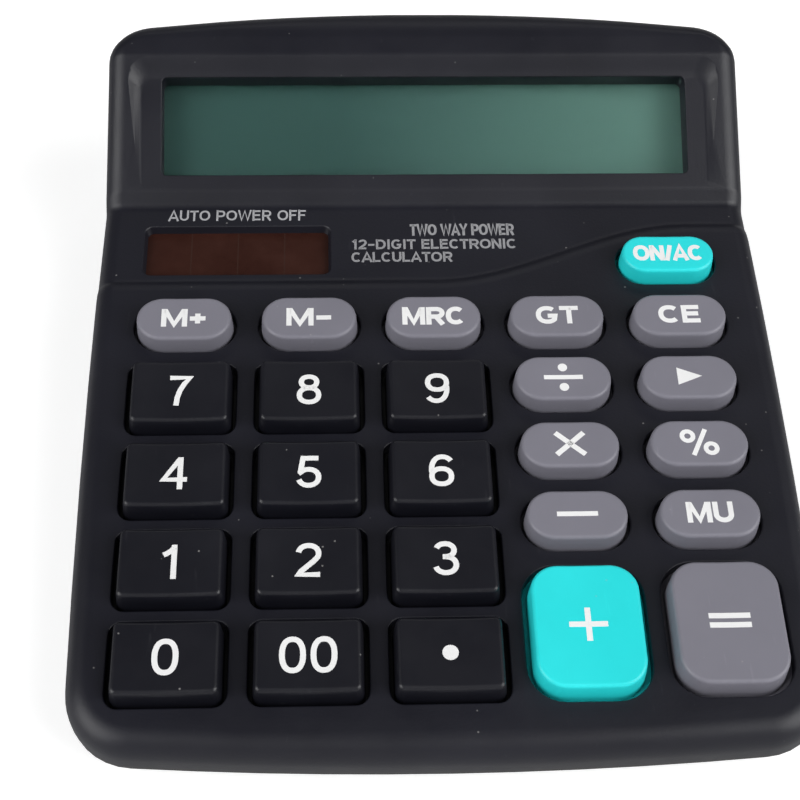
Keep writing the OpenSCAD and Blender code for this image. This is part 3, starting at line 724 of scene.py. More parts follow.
# Each capital as its pen lines, with its width
CAPITALS = {
    "M": (0.98, [[(-0.37, 0), (-0.37, 1)], [(0.37, 0), (0.37, 1)], [(-0.34, 0.95), (0, 0.12), (0.34, 0.95)]]),
    "R": (0.84, [[(-0.28, 0), (-0.28, 1)], [(-0.28, 0.8875), (0.06, 0.8875)]
                 + curve_line(0.06, 0.67, 0.225, 0.2175, 80, -90, 10) + [(-0.28, 0.4525)],
                 [(0.02, 0.45), (0.3, 0)]]),
    "C": (0.84, [curve_line(0.01, 0.5, 0.31, 0.3875, 46, 314, 22, 0.9)]),
    "G": (0.9, [curve_line(0, 0.5, 0.325, 0.3875, 48, 322, 24, 0.9) + [(0.29, 0.45), (0.02, 0.45)]]),
    "T": (0.74, [[(-0.35, 0.8875), (0.35, 0.8875)], [(0, 0), (0, 0.9)]]),
    "E": (0.76, [[(-0.25, 0), (-0.25, 1)], [(-0.25, 0.8875), (0.3, 0.8875)], [(-0.25, 0.52), (0.26, 0.52)],
                 [(-0.25, 0.1125), (0.31, 0.1125)]]),
    "U": (0.84, [[(-0.28, 1)] + curve_line(0, 0.38, 0.28, 0.27, 180, 360, 14) + [(0.28, 1)]]),
    "O": (0.94, [curve_line(0, 0.5, 0.345, 0.3875, 0, 360, 26, 0.92)]),
    "N": (0.84, [[(-0.29, 0), (-0.29, 1)], [(0.29, 0), (0.29, 1)], [(-0.27, 0.95), (0.27, 0.05)]]),
    "A": (0.86, [[(-0.36, 0), (0, 0.96), (0.36, 0)], [(-0.22, 0.3), (0.22, 0.3)]]),
    "P": (0.8, [[(-0.27, 0), (-0.27, 1)], [(-0.27, 0.8875), (0.06, 0.8875)]
                + curve_line(0.06, 0.66, 0.22, 0.2275, 80, -90, 10) + [(-0.27, 0.4325)]]),
    "W": (1.14, [[(-0.48, 1), (-0.24, 0.05), (0, 0.93), (0.24, 0.05), (0.48, 1)]]),
    "Y": (0.8, [[(-0.33, 1), (0, 0.44), (0.33, 1)], [(0, 0), (0, 0.5)]]),
    "F": (0.72, [[(-0.24, 0), (-0.24, 1)], [(-0.24, 0.8875), (0.29, 0.8875)], [(-0.24, 0.5), (0.22, 0.5)]]),
    "D": (0.88, [[(-0.29, 0), (-0.29, 1)], [(-0.29, 0.8875), (0.0, 0.8875)]
                 + curve_line(0.0, 0.5, 0.31, 0.3875, 80, -90, 14) + [(-0.29, 0.1125)]]),
    "I": (0.36, [[(0, 0), (0, 1)]]),
    "L": (0.7, [[(-0.24, 0), (-0.24, 1)], [(-0.24, 0.1125), (0.29, 0.1125)]]),
    "1": (0.54, [[(0.07, 0), (0.07, 1)], [(0.07, 0.93), (-0.15, 0.74)]]),
    "2": (0.74, [curve_line(0.0, 0.69, 0.24, 0.21, 172, -28, 16, 0.95)
                 + [(0.12, 0.44), (-0.2, 0.18), (-0.245, 0.1), (0.28, 0.1)]]),
    " ": (0.4, []),
    "/": (0.46, [[(-0.13, 0), (0.13, 1)]]),
    "+": (0.68, [[(-0.28, 0.45), (0.28, 0.45)], [(0, 0.17), (0, 0.73)]]),
    "-": (0.62, [[(-0.25, 0.45), (0.25, 0.45)]]),
    "%": (1.2, [curve_line(-0.34, 0.74, 0.17, 0.185, 0, 360, 18),
                curve_line(0.34, 0.26, 0.17, 0.185, 0, 360, 18), [(-0.22, 0.0), (0.22, 1)]]),
}


def capitals(text, width, height, pen):
    """A word in pen strokes, fitted to a width."""
    total = sum(CAPITALS[c][0] for c in text) * height
    squeeze = (width - pen) / (total - pen - 0.03 * height)
    at = -total / 2
    shapes = []
    for c in text:
        advance, lines = CAPITALS[c]
        at += advance * height / 2
        wide = [[(px * squeeze, py) for px, py in line] for line in lines]
        shapes.append(drawn(wide, height, pen, at * squeeze))
        at += advance * height / 2
    return shapes


def disc(cx, cy, r, n=24):
    angles = [2 * math.pi * i / n for i in range(n)]
    return [Vector((cx + r * math.cos(a), cy + r * math.sin(a))) for a in angles], [tuple(range(n))]


def bar(cx, cy, w, h):
    points = [Vector((cx + sx * w / 2, cy + sy * h / 2)) for sx, sy in ((-1, -1), (1, -1), (1, 1), (-1, 1))]
    return points, [(0, 1, 2, 3)]


# %% Ink films
INK = 0.03
INK_ROOT = 0.05
INK_STEP = 0.8


def ink(name, shapes, x, y, height_of, where):
    """A thin film of the flat shapes, laid on a surface whose height is height_of(x)."""
    bm = bmesh.new()
    for points, faces in shapes:
        verts = [bm.verts.new((p.x, p.y, 0)) for p in points]
        for face in faces:
            if len(set(face)) > 2:
                bm.faces.new([verts[i] for i in dict.fromkeys(face)])
    bmesh.ops.remove_doubles(bm, verts=bm.verts, dist=1e-5)
    bmesh.ops.triangulate(bm, faces=bm.faces)
    xs = [v.co.x for v in bm.verts]
    cut = math.ceil(min(xs) / INK_STEP) * INK_STEP
    while cut < max(xs):
        geometry = list(bm.verts) + list(bm.edges) + list(bm.faces)
        bmesh.ops.bisect_plane(bm, geom=geometry, plane_co=(cut, 0, 0), plane_no=(1, 0, 0))
        cut += INK_STEP
    for face in bm.faces:
        if face.normal.z < 0:
            face.normal_flip()
    top = list(bm.faces)
    made = bmesh.ops.duplicate(bm, geom=top)
    under = [g for g in made["geom"] if isinstance(g, bmesh.types.BMFace)]
    rim = [(e, made["edge_map"][e]) for e in {e for f in top for e in f.edges} if len(e.link_faces) == 1]
    bottom_verts = {v for f in under for v in f.verts}
    bmesh.ops.reverse_faces(bm, faces=under)
    for a, b in rim:
        try:
            bm.faces.new((a.verts[0], a.verts[1], b.verts[1], b.verts[0]))
        except ValueError:
            pass
    for v in bm.verts:
        surface = height_of(v.co.x)
        v.co.z = surface - INK_ROOT if v in bottom_verts else surface + INK
        v.co.x += x
        v.co.y += y
    bmesh.ops.recalc_face_normals(bm, faces=bm.faces)
    mesh = bpy.data.meshes.new(name)
    bm.to_mesh(mesh)
    bm.free()
    mesh.transform(Matrix.Scale(MM, 4))
    mesh.transform(metre_frame(where))
    return add_piece(name, mesh)


# %% Legends
DIGIT_H = 6.0
DIGIT_PEN = 0.88
DIGIT_SPACING = 4.75


def digit_shapes(text):
    start = -DIGIT_SPACING * (len(text) - 1) / 2
    return [drawn(DIGITS[c], DIGIT_H, DIGIT_PEN, start + i * DIGIT_SPACING) for i, c in enumerate(text)]


LEGENDS = {name: digit_shapes(name) for name in "0 1 2 3 4 5 6 7 8 9 00".split()}
LEGENDS["point"] = [disc(0, 0, 1.25)]
LEGENDS["divide"] = [bar(0, 0, 6.6, 0.85), disc(0, 2.0, 0.8), disc(0, -2.0, 0.8)]
LEGENDS["minus"] = [bar(0, 0, 6.6, 0.85)]
LEGENDS["multiply"] = [drawn([[(-0.5, 0), (0.5, 1)], [(-0.5, 1), (0.5, 0)]], 4.2, 0.9, 0, 4.7)]
LEGENDS["arrow"] = [([Vector((-2.0, -1.75)), Vector((2.2, 0)), Vector((-2.0, 1.75))], [(0, 1, 2)])]
LEGENDS["plus"] = [drawn(DIGITS["+"], 5.6, 0.9, 0, 6.0)]
LEGENDS["equals"] = [bar(0, 0.79, 6.5, 0.9), bar(0, -0.79, 6.5, 0.9)]
for name, text, w, h, pen in (
    ("m_plus", "M+", 7.6, 3.75, 0.9), ("m_minus", "M-", 7.7, 3.75, 0.9), ("mrc", "MRC", 10.8, 3.75, 0.9),
    ("gt", "GT", 7.3, 3.75, 0.88), ("ce", "CE", 7.3, 3.75, 0.88), ("mu", "MU", 7.6, 3.8, 0.86),
    ("on_ac", "ON/AC", 12.5, 3.45, 0.8), ("percent", "%", 6.3, 5.0, 0.78),
):
    LEGENDS[name] = capitals(text, w, h, pen)
legends = {}
for name, shapes in LEGENDS.items():
    x, y, kind, finish = KEYS[name]
    legends[name] = ink("key_" + name + "_legend", shapes, x, y, lambda px, k=kind: dish_z(k, px), ON_DECK)
print("legends:", len(legends))

# %% Words on the solar strip
# Each line of words with its middle, width, height and pen width
STRIP_WORDS = (
    ("AUTO POWER OFF", -34.7, 40.95, 25.2, 2.55, 0.36),
    ("TWO WAY POWER", 6.2, 37.3, 19.2, 2.75, 0.46),
    ("12-DIGIT ELECTRONIC", 1.0, 33.95, 30.0, 2.3, 0.42),
    ("CALCULATOR", -4.9, 31.0, 18.3, 2.3, 0.42),
)
words = [ink("word", capitals(text, w, h, pen), x, y, lambda px: STRIP_Z, ON_DECK)
         for text, x, y, w, h, pen in STRIP_WORDS]
power_print = join("power_print", words[:1])
strip_print = join("strip_print", words[1:])

# %% [markdown]
# ## Under the keys
# Under the plate lies one silicone mat with a hollow dome below each key.  The dome is the key's spring: it
# gives way as the cap goes down and pushes it up again.  A disc of carbon rubber hangs in each dome and
# closes a comb of contacts on the board.  The mat is not one mesh: each dome is its own loft with a smaller
# loft cut out of it, and the disc rides with the cap.


# %% Domes and discs
# Radius and height of each ring, outside from the sheet up and inside from the roof down
DOME_OUTSIDE = [(3.6, SHEET_Z), (3.3, -9.1), (2.5, -7.75), (2.2, -7.4), (2.05, MAT_TOP_Z)]
DOME_INSIDE = [(1.7, -8.9), (2.0, -8.95), (2.6, -9.4), (2.95, SHEET_Z - 0.1)]
DISC_R = 1.6
DISC_LIFT = 1.26
DISC_ROOF = 1.6


def round_loft(name, rings, x, y):
    return loft(name, [rounded_ring(2 * r, 2 * r, r, z, x, y, 9) for r, z in rings], ON_DECK)


def dome(name, x, y):
    """A hollow cone with a thick top, standing on the sheet."""
    return shade(boolean(round_loft(name, DOME_OUTSIDE, x, y), round_loft("hollow", DOME_INSIDE, x, y)), 40)


def disc_under(name, x, y):
    """A carbon disc that stops just short of the contacts when its key is down."""
    low, high = BOARD_Z + DISC_LIFT, BOARD_Z + DISC_ROOF
    return shade(slab(name, 2 * DISC_R, 2 * DISC_R, DISC_R - 0.01, low, high, ON_DECK, x, y, 0.0, 9), 40)


domes = {name: dome("dome_" + name, x, y) for name, (x, y, kind, finish) in KEYS.items()}
discs = {name: disc_under("disc_" + name, x, y) for name, (x, y, kind, finish) in KEYS.items()}
print("domes:", len(domes), "discs:", len(discs))

# %% Sheet of the mat
SHEET = {"w": 100.8, "h": 87.2, "r": 1.2, "y": -10.6}
DOME_HOLE_R = 2.8
SCREW_HOLE_R = 2.2
BOARD_SCREW_Y = 10.2
BOARD_SCREW_XS = [COLUMN * (i - 1.5) for i in range(4)]


def hole(w, h, r, x, y):
    return slab("hole", w, h, r, BOARD_Z - 1, SHEET_Z + 1, LEVEL, x, y)


def round_hole(r, x, y):
    return hole(2 * r, 2 * r, r - 0.01, x, y)


holes = [round_hole(DOME_HOLE_R, x, y) for x, y, kind, finish in KEYS.values()]
holes += [round_hole(SCREW_HOLE_R, x, BOARD_SCREW_Y) for x in BOARD_SCREW_XS]
holes.append(hole(74, 5, 0.5, 0, 32.9))
sheet = slab("mat_sheet", SHEET["w"], SHEET["h"], SHEET["r"], BOARD_Z, SHEET_Z, LEVEL, 0, SHEET["y"], 0.15)
shade(lift(boolean(sheet, join("holes", holes))), 32)

# %% [markdown]
# ## Surfaces
# Three effects are shared by several plastics: the fine grain that a spark-eroded mould leaves,
# the soft smudges of handling, and specks of dust.  Each is one node group, placed in a material
# with its own sizes and strengths.  Patterns are read in the piece's own metres.


# %% Node helpers
def group_tree(name, inputs, outputs):
    tree = bpy.data.node_groups.new(name, "ShaderNodeTree")
    for label, value in inputs:
        kind = "NodeSocketVector" if value is None else "NodeSocketFloat"
        socket = tree.interface.new_socket(label, in_out="INPUT", socket_type=kind)
        if value is not None:
            socket.default_value = value
    for label in outputs:
        tree.interface.new_socket(label, in_out="OUTPUT", socket_type="NodeSocketFloat")
    return tree, tree.nodes.new("NodeGroupInput"), tree.nodes.new("NodeGroupOutput")


def node(tree, kind, **values):
    made = tree.nodes.new("ShaderNode" + kind)
    for key, value in values.items():
        if key in made.inputs:
            made.inputs[key].default_value = value
        else:
            setattr(made, key, value)
    return made


def noise_node(tree, vector, scale, detail=2.0, rough=0.5):
    made = node(tree, "TexNoise")
    made.inputs["Detail"].default_value = detail
    made.inputs["Roughness"].default_value = rough
    if isinstance(scale, (int, float)):
        made.inputs["Scale"].default_value = scale
    else:
        tree.links.new(scale, made.inputs["Scale"])
    tree.links.new(vector, made.inputs["Vector"])
    return made.outputs["Fac"]


def math_node(tree, operation, a, b=None, clamp=False):
    made = node(tree, "Math", operation=operation, use_clamp=clamp)
    for socket, value in zip(made.inputs, (a, b)):
        if value is None:
            continue
        if isinstance(value, (int, float)):
            socket.default_value = value
        else:
            tree.links.new(value, socket)
    return made.outputs[0]


def ramp(tree, value, low, high, out_low=0.0, out_high=1.0):
    made = node(tree, "MapRange", clamp=True)
    for key, v in (("From Min", low), ("From Max", high), ("To Min", out_low), ("To Max", out_high)):
        made.inputs[key].default_value = v
    tree.links.new(value, made.inputs["Value"])
    return made.outputs["Result"]


# %% Mould grain
def build_grain():
    tree, given, result = group_tree("mould_grain", [("Vector", None), ("Scale", 2600.0)],
                                     ["Height", "Mottle"])
    fine = noise_node(tree, given.outputs["Vector"], given.outputs["Scale"], 3.0, 0.6)
    pits = node(tree, "TexVoronoi", feature="F1")
    tree.links.new(given.outputs["Vector"], pits.inputs["Vector"])
    tree.links.new(math_node(tree, "MULTIPLY", given.outputs["Scale"], 0.8), pits.inputs["Scale"])
    height = math_node(tree, "ADD", fine, math_node(tree, "MULTIPLY", pits.outputs["Distance"], 0.6))
    tree.links.new(height, result.inputs["Height"])
    broad = noise_node(tree, given.outputs["Vector"], 45.0, 4.0, 0.6)
    tree.links.new(ramp(tree, broad, 0.3, 0.7), result.inputs["Mottle"])
    return tree


# %% Smudges and dust
def build_handling():
    tree, given, result = group_tree("handling", [("Vector", None), ("Amount", 0.5)], ["Smudge", "Scuff"])
    broad = noise_node(tree, given.outputs["Vector"], 70.0, 5.0, 0.65)
    smudge = ramp(tree, broad, 0.42, 0.72)
    tree.links.new(math_node(tree, "MULTIPLY", smudge, given.outputs["Amount"]), result.inputs["Smudge"])
    stretched = node(tree, "Mapping")
    stretched.inputs["Scale"].default_value = (1.0, 0.08, 1.0)
    stretched.inputs["Rotation"].default_value = (0, 0, 0.6)
    tree.links.new(given.outputs["Vector"], stretched.inputs["Vector"])
    lines = noise_node(tree, stretched.outputs["Vector"], 900.0, 2.0, 0.5)
    tree.links.new(math_node(tree, "MULTIPLY", ramp(tree, lines, 0.7, 0.76), given.outputs["Amount"]),
                   result.inputs["Scuff"])
    return tree


def build_dust():
    tree, given, result = group_tree("dust", [("Vector", None), ("Amount", 0.5)], ["Mask"])
    cells = node(tree, "TexVoronoi", feature="F1")
    cells.inputs["Scale"].default_value = 520.0
    tree.links.new(given.outputs["Vector"], cells.inputs["Vector"])
    spot = ramp(tree, cells.outputs["Distance"], 0.05, 0.11, 1.0, 0.0)
    split = node(tree, "SeparateColor")
    tree.links.new(cells.outputs["Color"], split.inputs[0])
    chosen = math_node(tree, "GREATER_THAN", split.outputs[0], 0.9)
    facing = node(tree, "NewGeometry")
    normal = node(tree, "SeparateXYZ")
    tree.links.new(facing.outputs["Normal"], normal.inputs[0])
    up = ramp(tree, normal.outputs["Z"], 0.2, 0.8)
    mask = math_node(tree, "MULTIPLY", math_node(tree, "MULTIPLY", spot, chosen), up)
    tree.links.new(math_node(tree, "MULTIPLY", mask, given.outputs["Amount"]), result.inputs["Mask"])
    return tree


GRAIN, HANDLING, DUST = build_grain(), build_handling(), build_dust()


# %% Plastics
def use_group(tree, group, vector, **values):
    made = tree.nodes.new("ShaderNodeGroup")
    made.node_tree = group
    tree.links.new(vector, made.inputs["Vector"])
    for key, value in values.items():
        made.inputs[key].default_value = value
    return made


def mix_colour(tree, factor, a, b):
    made = node(tree, "Mix", data_type="RGBA")
    tree.links.new(factor, made.inputs[0])
    for socket, value in ((made.inputs[6], a), (made.inputs[7], b)):
        if isinstance(value, tuple):
            socket.default_value = (*value, 1)
        else:
            tree.links.new(value, socket)
    return made.outputs[2]


def plastic(name, colour, rough, grain=2600.0, depth=0.02, mottle=0.12, smudge=0.3, dust=0.0, **shader):
    """A moulded plastic: a colour that wanders a little, mould grain, smudges and dust."""
    material = bpy.data.materials.new(name)
    material.use_nodes = True
    tree = material.node_tree
    base = tree.nodes["Principled BSDF"]
    vector = node(tree, "TexCoord").outputs["Object"]
    skin = use_group(tree, GRAIN, vector, Scale=grain)
    hands = use_group(tree, HANDLING, vector, Amount=smudge)
    light = tuple(min(1.0, c * (1 + mottle)) for c in colour)
    dark = tuple(c * (1 - mottle) for c in colour)
    tint = mix_colour(tree, skin.outputs["Mottle"], dark, light)
    pale = tuple(min(1.0, c * 1.5 + 0.03) for c in colour)
    tint = mix_colour(tree, math_node(tree, "MULTIPLY", hands.outputs["Scuff"], 0.5), tint, pale)
    if dust:
        specks = use_group(tree, DUST, vector, Amount=dust)
        tint = mix_colour(tree, specks.outputs["Mask"], tint, (0.42, 0.41, 0.4))
    tree.links.new(tint, base.inputs["Base Color"])
    gloss = math_node(tree, "ADD", rough, math_node(tree, "MULTIPLY", hands.outputs["Smudge"], -0.18))
    gloss = math_node(tree, "ADD", gloss, math_node(tree, "MULTIPLY", skin.outputs["Mottle"], 0.06))
    tree.links.new(gloss, base.inputs["Roughness"])
    bump = node(tree, "Bump")
    bump.inputs["Strength"].default_value = 0.5
    bump.inputs["Distance"].default_value = depth * MM
    tree.links.new(skin.outputs["Height"], bump.inputs["Height"])
    tree.links.new(bump.outputs["Normal"], base.inputs["Normal"])
    for key, value in shader.items():
        base.inputs[key].default_value = value
    return material


SLOTS = {
    "case_black": plastic("case_black", (0.0058, 0.0060, 0.0118), 0.45, 2300, 0.03, 0.14, 0.3, 0.35),
    "base_black": plastic("base_black", (0.032, 0.032, 0.034), 0.55, 1900, 0.04, 0.12, 0.2, 0.2),
    "key_black": plastic("key_black", (0.0064, 0.0066, 0.011), 0.4, 3000, 0.012, 0.1, 0.4, 0.45),
    "key_grey": plastic("key_grey", (0.207, 0.202, 0.24), 0.45, 3000, 0.012, 0.05, 0.3, 0.3),
    "key_teal": plastic("key_teal", (0.020, 0.76, 0.78), 0.42, 3000, 0.012, 0.05, 0.3, 0.2),
    "white_plastic": plastic("white_plastic", (0.6, 0.6, 0.56), 0.5, 2200, 0.02, 0.04),
    "ribbon_film": plastic("ribbon_film", (0.42, 0.2, 0.05), 0.25, 1200, 0.004, 0.15),
    "board_laminate": plastic("board_laminate", (0.23, 0.14, 0.055), 0.5, 900, 0.02, 0.2),
    "epoxy_black": plastic("epoxy_black", (0.012, 0.012, 0.012), 0.2, 500, 0.01, 0.2),
    "capacitor_sleeve": plastic("capacitor_sleeve", (0.02, 0.03, 0.12), 0.3, 1500, 0.006, 0.1),
    "diode_glass": plastic("diode_glass", (0.45, 0.16, 0.05), 0.15, 700, 0.002, 0.2),
    "silicone_mat": plastic("silicone_mat", (0.5, 0.5, 0.53), 0.5, 1400, 0.01, 0.06),
    "carbon_rubber": plastic("carbon_rubber", (0.012, 0.012, 0.012), 0.8, 1800, 0.02, 0.1),
    "cell_jacket": plastic("cell_jacket", (0.05, 0.055, 0.06), 0.25, 1200, 0.003, 0.1),
    "wire_red": plastic("wire_red", (0.4, 0.02, 0.02), 0.35, 1500, 0.006, 0.1),
    "wire_black": plastic("wire_black", (0.012, 0.012, 0.012), 0.35, 1500, 0.006, 0.1),
    "foot_rubber": plastic("foot_rubber", (0.04, 0.04, 0.042), 0.75, 1600, 0.03, 0.15, 0.1, 0.4),
    "print_white": plastic("print_white", (0.9, 0.9, 0.9), 0.55, 2600, 0.004, 0.05, 0.1),
    "print_grey": plastic("print_grey", (0.30, 0.30, 0.315), 0.55, 2600, 0.004, 0.1, 0.1),
    "print_pale": plastic("print_pale", (0.42, 0.42, 0.44), 0.55, 2600, 0.004, 0.1, 0.1),
}


# %% Metals
def metal(name, colour, rough, brush):
    """Plated steel: fine streaks along one direction, and duller patches."""
    material = bpy.data.materials.new(name)
    material.use_nodes = True
    tree = material.node_tree
    base = tree.nodes["Principled BSDF"]
    vector = node(tree, "TexCoord").outputs["Object"]
    streaks = node(tree, "Mapping")
    streaks.inputs["Scale"].default_value = (brush, 1.0, 1.0)
    tree.links.new(vector, streaks.inputs["Vector"])
    lines = noise_node(tree, streaks.outputs["Vector"], 700.0, 3.0, 0.6)
    dull = noise_node(tree, vector, 260.0, 3.0, 0.6)
    tint = mix_colour(tree, ramp(tree, dull, 0.35, 0.7), colour, tuple(c * 0.72 for c in colour))
    tree.links.new(tint, base.inputs["Base Color"])
    tree.links.new(ramp(tree, lines, 0.3, 0.7, rough - 0.06, rough + 0.1), base.inputs["Roughness"])
    bump = node(tree, "Bump", Strength=0.3)
    bump.inputs["Distance"].default_value = 0.004 * MM
    tree.links.new(lines, bump.inputs["Height"])
    tree.links.new(bump.outputs["Normal"], base.inputs["Normal"])
    base.inputs["Metallic"].default_value = 1.0
    return material


SLOTS["screw_steel"] = metal("screw_steel", (0.5, 0.5, 0.5), 0.34, 5.0)
SLOTS["contact_nickel"] = metal("contact_nickel", (0.6, 0.59, 0.55), 0.22, 3.0)


# %% [markdown]
# ## Glass and cells
# The display window is clear acrylic over a grey-green reflective display.  The display is off, so it shows
# no digits, only a soft mottling and painted light: its tone is painted lighter towards the right end, where
# light falls on it.  The solar cell is dark red-brown glass with thin lines between its four segments.


# %% Glass
def clear_window():
    material = bpy.data.materials.new("clear_window")
    material.use_nodes = True
    tree = material.node_tree
    base = tree.nodes["Principled BSDF"]
    base.inputs["Transmission Weight"].default_value = 1.0
    base.inputs["IOR"].default_value = 1.2
    vector = node(tree, "TexCoord").outputs["Object"]
    hands = use_group(tree, HANDLING, vector, Amount=0.5)
    specks = use_group(tree, DUST, vector, Amount=0.25)
    tree.links.new(ramp(tree, hands.outputs["Smudge"], 0.0, 0.5, 0.02, 0.06), base.inputs["Roughness"])
    tree.links.new(mix_colour(tree, specks.outputs["Mask"], (0.96, 0.98, 0.97), (0.7, 0.7, 0.68)),
                   base.inputs["Base Color"])
    return material


def display_glass():
    material = bpy.data.materials.new("lcd_glass")
    material.use_nodes = True
    tree = material.node_tree
    base = tree.nodes["Principled BSDF"]
    vector = node(tree, "TexCoord").outputs["Object"]
    axes = node(tree, "SeparateXYZ")
    tree.links.new(vector, axes.inputs[0])
    # Painted light: the tone is made lighter along x towards the right end, where light falls on the display;
    # the cloud adds a mottling of the glass itself.
    along = ramp(tree, axes.outputs["X"], -0.02, 0.05)
    cloud = noise_node(tree, vector, 30.0, 3.0, 0.5)
    painted_light_and_mottle = math_node(tree, "ADD", along, math_node(tree, "MULTIPLY", cloud, 0.05))
    # From the display's own dark grey-green to the paler green of the painted light at its right end.
    tint = mix_colour(tree, ramp(tree, painted_light_and_mottle, 0.1, 1.2), (0.047, 0.112, 0.102), (0.17, 0.33, 0.285))
    tree.links.new(tint, base.inputs["Base Color"])
    fine = noise_node(tree, vector, 3000.0)
    tree.links.new(ramp(tree, fine, 0.3, 0.7, 0.28, 0.3), base.inputs["Roughness"])
    return material


def solar_glass():
    material = bpy.data.materials.new("solar_brown")
    material.use_nodes = True
    tree = material.node_tree
    base = tree.nodes["Principled BSDF"]
    vector = node(tree, "TexCoord").outputs["Object"]
    axes = node(tree, "SeparateXYZ")
    tree.links.new(vector, axes.inputs[0])
    segment = SOLAR["w"] * MM / 4
    shifted = math_node(tree, "ADD", axes.outputs["X"], -SOLAR["x"] * MM + 2 * segment)
    gap = math_node(tree, "LESS_THAN", math_node(tree, "PINGPONG", shifted, segment / 2), 0.0001)
    cloud = noise_node(tree, vector, 160.0, 4.0, 0.6)
    cell = mix_colour(tree, ramp(tree, cloud, 0.3, 0.7), (0.030, 0.0095, 0.0065), (0.042, 0.014, 0.0095))
    tree.links.new(mix_colour(tree, gap, cell, (0.041, 0.0185, 0.014)), base.inputs["Base Color"])
    tree.links.new(ramp(tree, cloud, 0.3, 0.7, 0.16, 0.24), base.inputs["Roughness"])
    return material


SLOTS["clear_window"] = clear_window()
SLOTS["lcd_glass"] = display_glass()
SLOTS["solar_brown"] = solar_glass()

# %% [markdown]
# ## Screws, contacts and the spring
# The case's six screws go up from hollows in the base into the posts of the upper shell.  Smaller
# ones hold the board and the display.  The spring is wound round the cell's axis, from a wide turn
# on its flat contact to a narrow one at the cell.  Each of these repeats or follows a path, so it
# is grown by a small node tree from a few points instead of being drawn piece by piece.  The sizes
# are inputs of the trees, which lets one screw tree serve four kinds of screw.


# %% Growing tools
def growing_tree(name, sizes):
    tree = bpy.data.node_groups.new(name, "GeometryNodeTree")
    tree.interface.new_socket("Points", in_out="INPUT", socket_type="NodeSocketGeometry")
    for label, value in sizes.items():
        socket = tree.interface.new_socket(label, in_out="INPUT", socket_type="NodeSocketFloat")
        socket.default_value = value * MM
    tree.interface.new_socket("Material", in_out="INPUT", socket_type="NodeSocketMaterial")
    tree.interface.new_socket("Geometry", in_out="OUTPUT", socket_type="NodeSocketGeometry")
    return tree, tree.nodes.new("NodeGroupInput"), tree.nodes.new("NodeGroupOutput")


def grow_node(tree, kind, feeds, **settings):
    """A node of a growing tree.  Feeds are values or outputs for its inputs, by name."""
    made = tree.nodes.new(kind)
    for key, value in settings.items():
        setattr(made, key, value)
    for key, value in feeds.items():
        for one in value if isinstance(value, list) else [value]:
            if isinstance(one, bpy.types.NodeSocket):
                tree.links.new(one, made.inputs[key])
            else:
                made.inputs[key].default_value = one
    return made.outputs[0]


def times(tree, a, b):
    return grow_node(tree, "ShaderNodeMath", {0: a, 1: b}, operation="MULTIPLY")


def triple(tree, x, y, z):
    return grow_node(tree, "ShaderNodeCombineXYZ", {"X": x, "Y": y, "Z": z})


def shift(tree, geometry, z):
    up = triple(tree, 0.0, 0.0, z)
    return grow_node(tree, "GeometryNodeTransform", {"Geometry": geometry, "Translation": up})


def box(tree, x, y, z):
    return grow_node(tree, "GeometryNodeMeshCube", {"Size": triple(tree, x, y, z)})


def spiral(tree, steps, turns, start, end, height):
    return grow_node(tree, "GeometryNodeCurveSpiral", {"Resolution": steps, "Rotations": turns,
                     "Start Radius": start, "End Radius": end, "Height": height})


def round_wire(tree, path, steps, radius):
    """A round wire along a path, closed at both ends."""
    section = grow_node(tree, "GeometryNodeCurvePrimitiveCircle", {"Resolution": steps, "Radius": radius})
    feeds = {"Curve": path, "Profile Curve": section, "Fill Caps": True}
    return grow_node(tree, "GeometryNodeCurveToMesh", feeds)


def at_points(tree, points, unit):
    spread = grow_node(tree, "GeometryNodeInstanceOnPoints", {"Points": points, "Instance": unit})
    return grow_node(tree, "GeometryNodeRealizeInstances", {"Geometry": spread})


def set_out(tree, given, result, unit):
    """Puts the unit at every point, makes it real and gives it the material."""
    real = at_points(tree, given.outputs["Points"], unit)
    feeds = {"Geometry": real, "Material": given.outputs["Material"]}
    tree.links.new(grow_node(tree, "GeometryNodeSetMaterial", feeds), result.inputs["Geometry"])


def grown(name, tree, points, where, material, **sizes):
    """A baked mesh of the tree's result on the points.  Points and sizes are in millimetres."""
    mesh = bpy.data.meshes.new(name)
    mesh.from_pydata([tuple(c * MM for c in p) for p in points], [], [])
    piece = add_piece(name, mesh)
    mod = piece.modifiers.new("grow", "NODES")
    mod.node_group = tree
    ids = {item.name: item.identifier for item in tree.interface.items_tree if item.in_out == "INPUT"}
    mod[ids["Material"]] = material
    for label, value in sizes.items():
        mod[ids[label.replace("_", " ")]] = value * MM
    bake(piece)
    piece.data.transform(metre_frame(where))
    return piece


